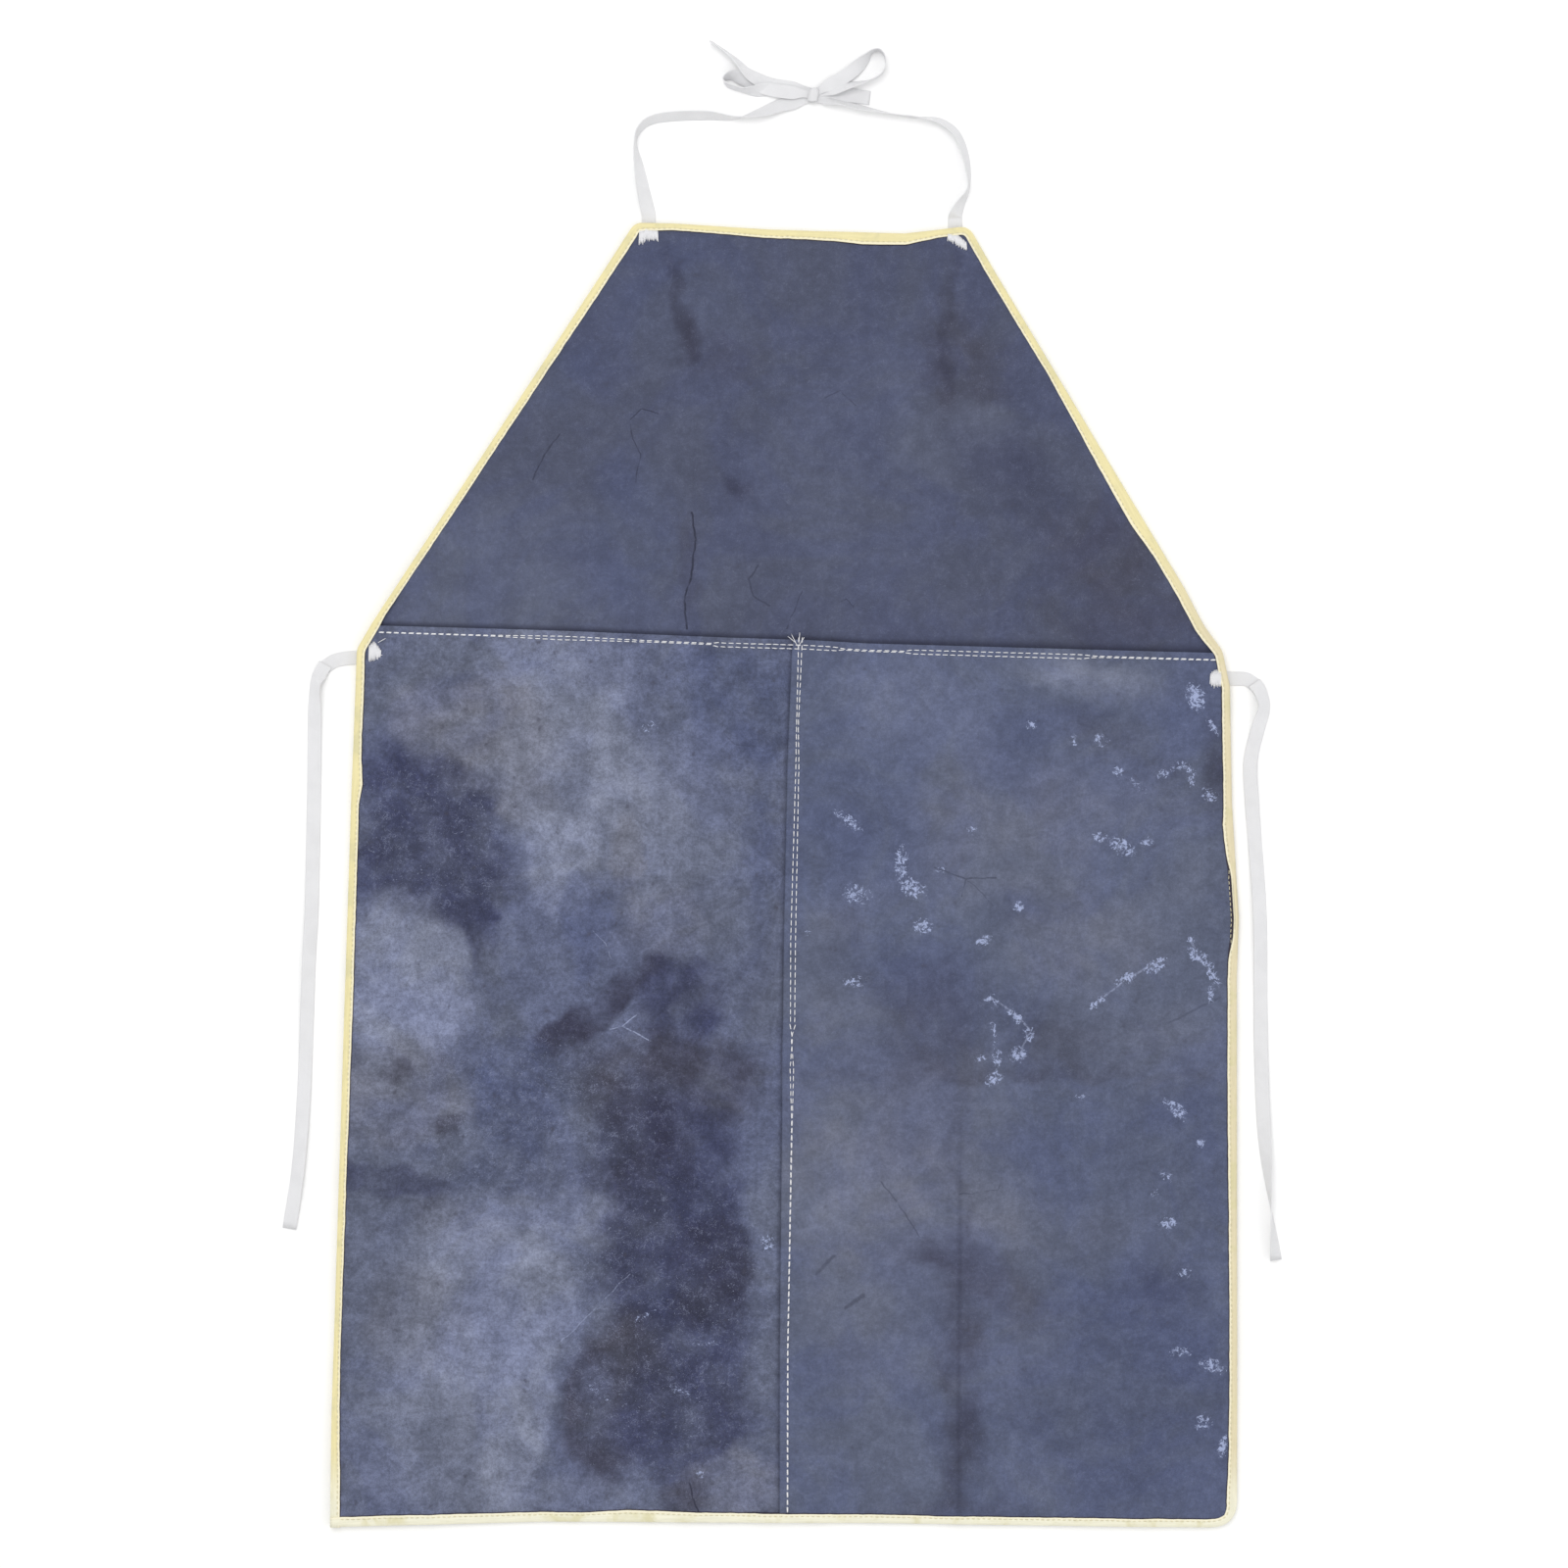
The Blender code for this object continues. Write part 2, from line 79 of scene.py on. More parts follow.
# The binding's outer side: corner points, clockwise from the lower left, with the radius that rounds each
LEFT_CORNERS = (
    (-0.305, -0.4385, 0),
    (-0.304, -0.361, 0),
    (-0.291, 0.048, 0),
    (-0.287, 0.152, 0.012),
    (-0.2772, 0.1688, 0.06),
    (-0.122, 0.405, 0),
    (-0.1002, 0.4387, 0.009),
)
TOP_CORNERS = ((-0.074, 0.4382, 0), (-0.008, 0.434, 0), (0.081, 0.4315, 0), (0.1, 0.4335, 0))
RIGHT_CORNERS = (
    (0.124, 0.4365, 0.01),
    (0.142, 0.405, 0),
    (0.269, 0.193, 0.06),
    (0.282, 0.168, 0.06),
    (0.2945, 0.151, 0.016),
    (0.2995, 0.127, 0),
    (0.301, 0.048, 0),
    (0.3057, -0.029, 0.03),
    (0.3042, -0.07, 0.03),
    (0.3045, -0.361, 0),
    (0.3045, -0.4385, 0.018),
)
HEM_CORNERS = ((0.238, -0.438, 0), (0.066, -0.4355, 0), (-0.158, -0.4345, 0), (-0.305, -0.438, 0))
ARC_STEPS = 8
STATION = 0.0028  # spacing of points along the binding

# The visible edges of the two overlaps
WAIST_EDGE = (
    (-0.31, 0.169),
    (-0.198, 0.166),
    (-0.136, 0.164),
    (-0.04, 0.16),
    (0.014, 0.1583),
    (0.055, 0.156),
    (0.31, 0.149),
)
CENTRE_EDGE = ((-0.45, -0.0026), (-0.321, -0.0024), (-0.044, 0.0003), (0.075, 0.0028), (0.17, 0.0066))

# Stitching
STITCH_PITCH = 0.005
STITCH_LENGTH = 0.0038
THREAD_RADIUS = 0.00034
WAIST_ENDS = (-0.2725, 0.2905)
CENTRE_ENDS = (-0.4285, 0.159)
BINDING_ROW = 0.0049  # how far in the binding's row is where the strip has slipped
BINDING_PITCH = 0.0036
BINDING_STITCH = 0.0026
BINDING_THREAD_RADIUS = 0.00026
STRIP_DENT = 0.00006  # that this row makes in the strip

# Where the binding has slipped off the leather's edge, on the right: from and to, and its width there
SLIP = (-0.056, 0.014)
SLIPPED_WIDTH = 0.0028
SLIP_SLOPE = 0.02  # how far it takes to slip off in full
SLIP_GAP = 0.0016  # of bare dark leather beside it

# The uneven width of the strip's front: distance along it from the lower left, and width
STRIP_WIDTHS = (
    (0.0, 0.0062), (0.12, 0.004), (0.35, 0.005), (0.488, 0.0049), (0.5, 0.0067), (0.518, 0.0052),
    (0.61, 0.0052), (0.622, 0.0041), (0.85, 0.0051), (0.915, 0.0056), (0.96, 0.004), (1.07, 0.0061),
    (1.085, 0.0076), (1.115, 0.007), (1.135, 0.0048), (1.27, 0.0046), (1.345, 0.0073), (1.385, 0.0084),
    (1.41, 0.0063), (1.475, 0.0062), (1.492, 0.005), (1.59, 0.005), (1.606, 0.0066), (1.625, 0.0054),
    (1.78, 0.0058), (1.94, 0.0045), (2.03, 0.0051), (2.06, 0.0066), (2.075, 0.0052), (2.27, 0.0047),
    (2.43, 0.0062), (2.48, 0.0078), (2.51, 0.006), (2.66, 0.0063),
)
STRIP_WOBBLES = ((0.03, 0.0003, 5.0), (0.0055, 0.00028, 2.0))  # size, reach and noise layer of its nicks
ROW_SHARE = 0.78  # where its stitches are, as a share of that width

# Bar tacks: the spacing and radius of their threads, how ragged they are, and for each the body it rides on,
# its middle, and its outline as (x, foot, top) from there
TACK_PITCH = 0.00042
TACK_RADIUS = 0.00036
TACK_RAGGED_TOP = 0.0008
TACK_RAGGED_FOOT = 0.0024
TACKS = {
    "bar_tack_tie_left": (
        "skirt",
        (-0.2752, 0.15),
        ((-0.0039, -0.0061, 0.0042), (-0.0003, -0.0048, 0.0074), (0.0041, -0.0035, 0.0016)),
    ),
    "bar_tack_tie_right": (
        "skirt",
        (0.29, 0.1325),
        ((-0.0037, -0.004, 0.003), (0.0, -0.0054, 0.0057), (0.0034, -0.005, 0.005)),
    ),
    "bar_tack_neck_left": (
        "bib",
        (-0.0915, 0.4303),
        ((-0.006, -0.0056, 0.0046), (0.0, -0.003, 0.0048), (0.0066, -0.0028, 0.0034)),
    ),
    "bar_tack_neck_right": (
        "bib",
        (0.1162, 0.4262),
        ((-0.0062, 0.0014, 0.0056), (0.0, -0.002, 0.005), (0.0062, -0.0052, -0.0004)),
    ),
}

# Ends of thread that were left uncut: the two ends of each
LOOSE_ENDS = (
    ((-0.273, 0.1563), (-0.2677, 0.1593)),
    ((-0.2722, 0.1478), (-0.27, 0.148)),
    ((0.0026, 0.1606), (0.008, 0.1562)),
    ((0.005, 0.162), (0.009, 0.154)),
    ((0.0106, 0.1632), (0.01, 0.156)),
    ((0.0136, 0.16), (0.0092, 0.153)),
    ((0.299, -0.0575), (0.3001, -0.0598)),
)

# Tapes: each route point is x, y, the lift of its lower side off the floor, and the tape's roll in degrees
TAPE_STEPS = 8
SEWN_ENDS = {
    "tie_left_sewn_end": (
        (-0.264, 0.1462), (-0.274, 0.1462), (-0.29, 0.1464), (-0.302, 0.1445), (-0.31, 0.1395),
    ),
    "tie_right_sewn_end": (
        (0.276, 0.133), (0.286, 0.1328), (0.303, 0.1324), (0.3115, 0.1318), (0.3185, 0.127),
    ),
}
TIES = {
    "tie_left": (
        (-0.3085, 0.142, 0.0009, 0), (-0.3125, 0.135, 0.0009, 10), (-0.3155, 0.126, 0.0006, 40),
        (-0.316, 0.1, 0, 10), (-0.3165, 0.051, 0, 0), (-0.318, -0.022, 0, -6), (-0.32, -0.062, 0, -14),
        (-0.323, -0.143, 0, 4), (-0.327, -0.197, 0, 18), (-0.333, -0.238, 0, 4),
    ),
    "tie_right": (
        (0.3165, 0.1295, 0.0009, 0), (0.3205, 0.1235, 0.0009, -20), (0.323, 0.113, 0.0004, -30),
        (0.319, 0.098, 0, -6), (0.314, 0.076, 0, 6), (0.315, 0.048, 0, 8), (0.317, 0.023, 0, 0),
        (0.3205, -0.031, 0, -8), (0.321, -0.11, 0, 6), (0.323, -0.168, 0, 20), (0.3265, -0.213, 0, 76),
        (0.331, -0.259, 0, 150),
    ),
}
NECK_TAPES = {
    "neck_tape_left": (
        (-0.0912, 0.417, 0.0003, 0), (-0.0912, 0.426, 0.0003, 0), (-0.0912, 0.4345, 0, 0),
        (-0.0912, 0.4418, 0, 0), (-0.0914, 0.446, 0, 4), (-0.0945, 0.46, 0, 24), (-0.098, 0.479, 0, 54),
        (-0.1, 0.493, 0, 82), (-0.097, 0.502, 0, 70), (-0.089, 0.508, 0, 60), (-0.074, 0.5105, 0, 56),
        (-0.051, 0.511, 0, 60), (-0.033, 0.5094, 0, 86), (-0.0149, 0.5135, 0, 136),
        (-0.0025, 0.518, 0, 166), (0.012, 0.5214, 0.0006, 180), (0.0205, 0.524, 0.0014, 180),
        (0.0145, 0.5258, 0.002, 180), (0.0016, 0.5271, 0.002, 180), (-0.0107, 0.5292, 0.0018, 180),
        (-0.019, 0.5325, 0.0018, 180), (-0.0289, 0.5364, 0.001, 152), (-0.035, 0.5381, 0.0004, 128),
        (-0.0406, 0.5352, 0, 98), (-0.0378, 0.5314, 0, 84), (-0.0338, 0.5298, 0, 80),
        (-0.0272, 0.5279, 0, 78), (-0.0198, 0.5276, 0, 50), (-0.0107, 0.529, 0, 14),
        (0.0016, 0.5274, 0, 0), (0.015, 0.525, 0.0006, 0), (0.0215, 0.5262, 0.001, 0),
        (0.015, 0.5282, 0.0008, 0), (0.002, 0.5302, 0.0008, 0), (-0.008, 0.5318, 0.0008, 0),
        (-0.018, 0.5356, 0.0006, 16), (-0.0256, 0.5407, 0, 44), (-0.0314, 0.5473, 0, 64),
        (-0.04, 0.5545, 0, 76), (-0.0496, 0.5611, 0, 80),
    ),
    "neck_tape_right": (
        (0.1152, 0.415, 0.0003, 0), (0.1152, 0.424, 0.0003, 0), (0.1152, 0.4345, 0, 0),
        (0.1152, 0.4418, 0, 0), (0.1158, 0.445, 0, 26), (0.119, 0.452, 0, 54), (0.124, 0.462, 0, 80),
        (0.1236, 0.4755, 0, 66), (0.1206, 0.489, 0, 58), (0.115, 0.5, 0, 54), (0.1056, 0.507, 0, 60),
        (0.0957, 0.5092, 0, 74), (0.0858, 0.5102, 0, 88), (0.0759, 0.5115, 0, 84),
        (0.0627, 0.5141, 0, 74), (0.0495, 0.5168, 0, 61), (0.0363, 0.5201, 0, 60),
        (0.025, 0.5218, 0.0004, 20), (0.019, 0.525, 0.0016, 0), (0.024, 0.5282, 0.0022, 0),
        (0.0297, 0.5313, 0.002, 0), (0.0396, 0.5366, 0.0016, 0), (0.0475, 0.5425, 0.001, 12),
        (0.0548, 0.5491, 0.0002, 54), (0.0594, 0.5542, 0, 84), (0.064, 0.555, 0, 88),
        (0.0675, 0.5515, 0, 89), (0.0683, 0.5458, 0, 89), (0.066, 0.5399, 0, 88), (0.062, 0.5366, 0, 86),
        (0.0561, 0.5343, 0, 80), (0.0495, 0.5326, 0, 66), (0.0416, 0.5308, 0, 50), (0.034, 0.529, 0, 30),
        (0.024, 0.5265, 0.0006, 10), (0.018, 0.525, 0.0016, 0), (0.024, 0.5244, 0.0012, 0),
        (0.0297, 0.5252, 0.001, 0), (0.0429, 0.5251, 0.0004, 0), (0.0579, 0.5233, 0, 0),
    ),
}
SEWN_END_CLIMB = (0.008, 0.005)  # depth at which a tie's sewn end leaves the strip, and length of its climb
KNOT_CENTRE = (0.0197, 0.5247)
KNOT_SIZE = (0.006, 0.0092, 0.0052)
KNOT_TURNS = 40
KNOT_ROWS = 9
KNOT_TAPER = 0.22  # how much narrower its two ends are than its middle
KNOT_CREASE = 0.05
KNOT_LEAN = 0.0014
GATHER = 0.01  # how near the knot's middle the tape is bunched
BUNCHED_SHARE = 0.55  # of its width that is left there

# Colours as they look in even light, from 0 to 255: the dyes of the leather, its marks, and the rest
DYES = {
    "slate": (91, 97, 120),
    "pale": (120, 126, 150),
    "haze": (106, 109, 127),
    "deep": (59, 63, 90),
    "dusk": (66, 67, 84),
    "black": (48, 48, 66),
    "blue": (76, 83, 111),
}
PIT_COLOUR = (66, 66, 80)
FIBRE_COLOUR = (140, 147, 172)
WORN_COLOUR = (166, 177, 212)
VEIN_COLOUR = (40, 42, 58)
SCRATCH_COLOUR = (168, 177, 208)
RIM_COLOUR = (46, 34, 42)
# The colour of the painted shade along the steps of the seams and down the old fold of the right panel
SHADE_COLOUR = (40, 41, 58)
STRIP_COLOUR = (232, 221, 170)
STRIP_RIGHT_COLOUR = (222, 211, 177)
STRIP_HEM_COLOUR = (236, 233, 211)
STRIP_SOIL_COLOUR = (213, 206, 163)
STRIP_LIP_COLOUR = (246, 239, 212)
TAPE_COLOUR = (240, 240, 242)
THREAD_COLOUR = (252, 252, 255)
PALE_THREAD_COLOUR = (240, 233, 200)
FLOOR_GREY = 0.99

# Light and floor: each lamp's place, size and power
LAMPS = {"overhead": ((-0.8, 1.4, 3.6), 2.2, 46), "side": ((2.6, -1.2, 2.4), 1.6, 12)}
WORLD_STRENGTH = 0.8
FLOOR_REACH = 8
FLOOR_DROP = 0.0002  # below the apron, so that the two don't share a plane


def along(points, at):
    """The value at a place, read from (place, value) pairs whose places rise, and held past both ends."""
    if at <= points[0][0]:
        return points[0][1]
    for (start, low), (end, high) in zip(points, points[1:]):
        if at <= end:
            return low + (high - low) * (at - start) / (end - start)
    return points[-1][1]


def rounded(corners):
    """The polyline through corner points, with a curve in place of each corner that has a radius."""
    points = []
    for i, (x, y, radius) in enumerate(corners):
        here = Vector((x, y))
        if radius == 0:
            points.append(here)
            continue
        before = (Vector(corners[i - 1][:2]) - here).normalized()
        after = (Vector(corners[i + 1][:2]) - here).normalized()
        reach = radius * tan(after.angle(-before) / 2)
        for step in range(ARC_STEPS + 1):
            t = step / ARC_STEPS
            points.append(here + before * reach * (1 - t) ** 2 + after * reach * t**2)
    return points


OUTLINE = rounded(LEFT_CORNERS + TOP_CORNERS + RIGHT_CORNERS + HEM_CORNERS)
LEFT_CHAIN = sorted((p.y, p.x) for p in rounded(LEFT_CORNERS + TOP_CORNERS[:1])[:-1])
RIGHT_CHAIN = sorted((p.y, p.x) for p in rounded(TOP_CORNERS[-1:] + RIGHT_CORNERS + HEM_CORNERS[:1])[1:-1])
TOP_CHAIN = [(x, y) for x, y, _ in LEFT_CORNERS[-1:] + TOP_CORNERS + RIGHT_CORNERS[:1]]
HEM_CHAIN = [(x, y) for x, y, _ in reversed(RIGHT_CORNERS[-1:] + HEM_CORNERS)]


# Where each edge is: x from y at the sides and the centre, and y from x at the top, the hem and the waist
left_edge = partial(along, LEFT_CHAIN)
right_edge = partial(along, RIGHT_CHAIN)
top_edge = partial(along, TOP_CHAIN)
hem_edge = partial(along, HEM_CHAIN)
waist_edge = partial(along, WAIST_EDGE)
centre_edge = partial(along, CENTRE_EDGE)


def depth(x, y):
    """How far in from the binding's outer side a place is."""
    return min(x - left_edge(y), right_edge(y) - x, top_edge(x) - y, y - hem_edge(x))


# Heights of the layers


def share(value):
    """A value held between 0 and 1, easing in and out."""
    held = max(0.0, min(1.0, value))
    return held * held * (3 - 2 * held)


def fading(distance):
    """1 beside an edge or seam, fading to 0 in the flat middle of a panel."""
    return share((NO_RISE - distance) / (NO_RISE - FULL_RISE))


def leading(distance):
    """1 before an edge, fading to 0 farther off."""
    return share(1 - (distance - LEAD) / LEAD_SLOPE)


def bump_at(distance, half_width):
    """A smooth ridge: 1 on its line, fading to nothing."""
    return exp(-((distance / half_width) ** 2))


# Creases left by folding and packing: two ends, half width and height
CREASES = (
    ((0.0033, 0.42), (0.004, 0.17), 0.006, 0.0009),
    ((0.1095, 0.425), (0.113, 0.195), 0.0045, 0.0008),
    ((0.116, -0.145), (0.118, -0.43), 0.006, 0.001),
    ((0.015, -0.133), (0.295, -0.13), 0.0055, 0.0009),
    ((-0.29, -0.205), (-0.02, -0.19), 0.009, 0.0006),
    ((-0.17, 0.15), (-0.145, -0.42), 0.012, 0.0007),
    ((-0.26, 0.185), (-0.13, 0.36), 0.012, 0.0005),
)
SWELL = 0.0019  # height of the slow waves of leather that doesn't lie quite flat
SWELL_SIZE = 0.115
RIPPLE = 0.0005
RIPPLE_SIZE = 0.03


def crease_height(x, y):
    total = 0.0
    here = Vector((x, y))
    for start, end, half_width, height in CREASES:
        a = Vector(start)
        line = Vector(end) - a
        t = max(0.0, min(1.0, (here - a).dot(line) / line.length_squared))
        total += height * bump_at((here - a - line * t).length, half_width)
    return total


def swell(x, y):
    """The slow waves and small ripples of the whole apron."""
    slow = noise.noise(Vector((x / SWELL_SIZE, y / SWELL_SIZE, 3.1))) + 0.45
    small = noise.noise(Vector((x / RIPPLE_SIZE, y / RIPPLE_SIZE, 8.7))) + 0.5
    return max(0.0, slow) * SWELL + max(0.0, small) * RIPPLE + crease_height(x, y)


def ground(x, y):
    """The underside of the lowest leather layer."""
    below_waist = waist_edge(x) - y
    seam = fading(abs(below_waist))
    if below_waist > 0:
        seam = max(seam, fading(abs(x - centre_edge(y))))
    return max(RIM_RISE * fading(depth(x, y)), SEAM_RISE * seam) + swell(x, y)


def left_underside(x, y):
    return ground(x, y) + LAYER * fading(waist_edge(x) - y)


def right_underside(x, y):
    return left_underside(x, y) + LAYER * fading(x - centre_edge(y))


def front_face(x, y):
    """The face of the top layer. It rises before each place where it steps up."""
    below_waist = waist_edge(x) - y
    past_centre = x - centre_edge(y)
    waist_step = fading(below_waist) if below_waist > 0 else leading(-below_waist)
    centre_step = fading(past_centre) if past_centre > 0 else leading(-past_centre)
    if below_waist < -LEAD - LEAD_SLOPE:
        centre_step = 0
    return ground(x, y) + LAYER * (waist_step + centre_step) + LEATHER


# Materials


def linear(*colour):
    """A colour from 0 to 255 as the shader's colour, by the sRGB curve."""
    parts = [part / 255 for part in colour]
    return tuple(part / 12.92 if part <= 0.04045 else ((part + 0.055) / 1.055) ** 2.4 for part in parts)


class Painter:
    """Makes the nodes of one material."""

    def __init__(self, name, roughness, sheen=0.0):
        self.material = bpy.data.materials.new(name)
        self.material.use_nodes = True
        self.tree = self.material.node_tree
        self.shader = self.tree.nodes["Principled BSDF"]
        self.shader.inputs["Roughness"].default_value = roughness
        self.shader.inputs["Sheen Weight"].default_value = sheen
        self.shader.inputs["Specular IOR Level"].default_value = 0.2

    def node(self, kind, inputs, **settings):
        made = self.tree.nodes.new(f"ShaderNode{kind}")
        for setting, value in settings.items():
            setattr(made, setting, value)
        for key, value in inputs.items():
            if isinstance(value, bpy.types.NodeSocket):
                self.tree.links.new(value, made.inputs[key])
            else:
                made.inputs[key].default_value = value
        return made

    def attribute(self, name, output):
        return self.node("Attribute", {}, attribute_name=name).outputs[output]

    def noise(self, place, scale, detail=3.0, roughness=0.5, distortion=0.0):
        inputs = {"Vector": place, "Scale": scale, "Detail": detail}
        inputs.update({"Roughness": roughness, "Distortion": distortion})
        return self.node("TexNoise", inputs).outputs["Fac"]

    def remap(self, value, low, high, to_low=0.0, to_high=1.0):
        inputs = {"Value": value, "From Min": low, "From Max": high, "To Min": to_low, "To Max": to_high}
        return self.node("MapRange", inputs, interpolation_type="SMOOTHSTEP").outputs["Result"]

    def math(self, operation, a, b):
        return self.node("Math", {0: a, 1: b}, operation=operation).outputs["Value"]

    def vector_math(self, operation, a, b, output="Vector"):
        return self.node("VectorMath", {0: a, 1: b}, operation=operation).outputs[output]

    def scaled(self, vector, factor):
        return self.node("VectorMath", {0: vector, "Scale": factor}, operation="SCALE").outputs["Vector"]

    def mix(self, factor, a, b, blend_type="MIX"):
        made = self.node("Mix", {}, data_type="RGBA", blend_type=blend_type)
        for key, value in (("Factor", factor), ("A", a), ("B", b)):
            socket = next(s for s in made.inputs if s.name == key and s.enabled)
            if isinstance(value, bpy.types.NodeSocket):
                self.tree.links.new(value, socket)
            else:
                socket.default_value = value if key == "Factor" else (*value, 1)
        return next(s for s in made.outputs if s.enabled)

    def wandering(self, place, scale, reach):
        """A place moved about by smooth noise."""
        waves = self.node("TexNoise", {"Vector": place, "Scale": scale, "Detail": 3.0}).outputs["Color"]
        away = self.vector_math("SUBTRACT", waves, (0.5, 0.5, 0.5))
        return self.vector_math("ADD", place, self.scaled(away, reach))

    def shaded(self, colour, value, low, high, softness=0.16):
        """A colour made darker or lighter by a noise value: low at its troughs and high at its peaks."""
        factor = self.remap(value, 0.5 - softness, 0.5 + softness, low, high)
        grey = self.node("CombineColor", {"Red": factor, "Green": factor, "Blue": factor}).outputs["Color"]
        return self.mix(1.0, colour, grey, "MULTIPLY")

    def finish(self, colour, height, strength, distance, roughness=None):
        """Joins up the colour, the bump and the roughness."""
        bump = self.node("Bump", {"Height": height, "Strength": strength, "Distance": distance})
        self.tree.links.new(bump.outputs["Normal"], self.shader.inputs["Normal"])
        self.tree.links.new(colour, self.shader.inputs["Base Color"])
        if roughness is not None:
            self.tree.links.new(roughness, self.shader.inputs["Roughness"])
        return self.material

    def line_share(self, place, points, half_width):
        """1 on a polyline given in millimetres, fading to 0 at its half width."""
        nearest = None
        for start, end in zip(points, points[1:]):
            a = Vector((*start, 0)) / PER_METRE
            line = Vector((*end, 0)) / PER_METRE - a
            away = self.vector_math("SUBTRACT", place, a)
            reach = self.vector_math("DOT_PRODUCT", away, line / line.length_squared, "Value")
            held = self.node("Clamp", {"Value": reach}).outputs["Result"]
            gap = self.vector_math("DISTANCE", away, self.scaled(line, held), "Value")
            nearest = gap if nearest is None else self.math("MINIMUM", nearest, gap)
        reach = half_width / PER_METRE
        return self.remap(nearest, reach, reach * 0.25)


# Dark veins and cuts, and pale scratches, of each piece of leather, in mm: points, half width, and strength
VEINS = {
    "bib": (
        (((-62, 244), (-59.4, 226.4), (-62.7, 200.6), (-67.3, 184.8), (-65.3, 165.7)), 1, 0.85),
        (((-151.4, 297), (-161, 283), (-169, 266.6)), 0.8, 0.6),
        (((-84.5, 311), (-95.7, 313.5), (-104.3, 306), (-101.6, 293.7), (-96.4, 283.8), (-99.7, 264.7)),
         0.7, 0.6),
        (((-17.2, 208.6), (-23.8, 199.3), (-20.5, 188), (-9.2, 181.5)), 1, 0.5),
        (((2, 165.7), (8.6, 181.5), (11.9, 191.4)), 0.7, 0.5),
        (((27.7, 320.8), (37.6, 326), (48.2, 316.1)), 0.6, 0.4),
        (((37, 183), (42, 186), (47, 181)), 0.7, 0.5),
    ),
    "skirt_left": (
        (((-63.4, -409.2), (-61.5, -418), (-57.4, -427.7)), 0.9, 0.85),
        (((-40, 95), (-33, 88), (-21, 87)), 0.6, 0.3),
    ),
    "skirt_right": (
        (((101, 5.3), (112, 1), (122.8, -2.6), (142.7, -1.3)), 0.8, 0.5),
        (((122.8, -2.6), (119.5, -14.5)), 0.7, 0.5),
        (((124, -4), (132, -11), (140.6, -19.8)), 0.6, 0.4),
        (((65.3, -205.9), (80, -226), (91.1, -243.5)), 0.7, 0.5),
        (((21.8, -268), (33.7, -256)), 1.8, 0.45),
        (((41.6, -291), (53.5, -283)), 2, 0.45),
        (((259, -99.7), (293, -81.8)), 1.2, 0.3),
        (((118, -215), (144, -212), (147.5, -204)), 0.6, 0.4),
    ),
}
SCRATCHES = {
    "bib": (),
    "skirt_left": (
        (((-116.8, -103.6), (-108.9, -101.6), (-99.7, -93.7)), 0.6, 0.7),
        (((-108.9, -101.6), (-89.8, -110.9)), 0.6, 0.7),
        (((-152, -316), (-126, -290), (-103.6, -268)), 0.5, 0.45),
        (((-129, -37), (-120, -46), (-116, -56)), 0.5, 0.4),
    ),
    "skirt_right": (
        (((206, -89.8), (229.7, -70), (255.4, -56.1)), 1.1, 0.35),
        (((273.2, -42.2), (279, -56), (291, -70)), 1.1, 0.4),
        (((138.6, -81.8), (156.4, -93.7), (166.3, -105.6), (156.4, -123.4)), 1, 0.4),
    ),
}


# How strongly the grain of each piece of leather shows
CONTRAST = {"bib": 0.55, "skirt_left": 1.15, "skirt_right": 0.7}


def grained(painter, flat, noises, contrast):
    """The leather's dye, made uneven in steps from large clouds to fine grain, with small dark pits."""
    patches, mottle, grain = noises
    clouds = painter.noise(flat, 26, 9, 0.64, 0.4)
    colour = painter.attribute("dye", "Color")
    swings = ((clouds, 0.085, 0.07), (patches, 0.14, 0.13), (mottle, 0.17, 0.16), (grain, 0.08, 0.16))
    for value, swing, softness in swings:
        colour = painter.shaded(colour, value, 1 - swing * contrast, 1 + swing * contrast, softness)
    hue = painter.remap(painter.noise(flat, 11, 6, 0.62, 0.9), 0.4, 0.6)
    hue = painter.mix(hue, (0.97, 0.98, 1.02), (1.03, 1.02, 0.955))
    colour = painter.mix(1.0, colour, hue, "MULTIPLY")
    cells = painter.node("TexVoronoi", {"Vector": painter.wandering(flat, 160, 0.004), "Scale": 95.0})
    pits = painter.math("ADD", cells.outputs["Distance"], painter.math("MULTIPLY", patches, 0.9))
    return painter.mix(painter.remap(pits, 0.6, 0.42, 0.0, 0.45 * contrast), colour, linear(*PIT_COLOUR))


def fibres(painter, flat, patches):
    """Fine pale lines and flecks, where a level of noise is crossed and in the mesh's flecked places."""
    lines = painter.math("SUBTRACT", painter.noise(flat, 120, 5, 0.68, 1.5), 0.5)
    lines = painter.remap(painter.math("ABSOLUTE", lines, 0.0), 0.014, 0.003)
    lines = painter.math("MULTIPLY", lines, painter.remap(patches, 0.48, 0.6))
    flecks = painter.remap(painter.noise(flat, 460, 3, 0.7, 2.2), 0.61, 0.68)
    hairs = painter.math("MAXIMUM", lines, flecks)
    hairs = painter.math("MULTIPLY", hairs, painter.attribute("fleck", "Fac"))
    return painter.math("MULTIPLY", hairs, 0.62)


def worn(painter, crackle):
    """The flaking pale patches: the scuffs of the mesh, broken up by noise."""
    flakes = painter.math("MULTIPLY", painter.remap(crackle, 0.36, 0.64), 0.5)
    flakes = painter.math("ADD", flakes, painter.attribute("scuff", "Fac"))
    return painter.remap(flakes, 0.71, 0.8, 0.0, 0.85)


def veins(painter, bent, patches, name):
    strongest = None
    for points, half_width, strength in VEINS[name]:
        vein = painter.math("MULTIPLY", painter.line_share(bent, points, half_width), strength)
        vein = painter.math("MULTIPLY", vein, painter.remap(patches, 0.3, 0.55, 0.35, 1.0))
        strongest = vein if strongest is None else painter.math("MAXIMUM", strongest, vein)
    return strongest


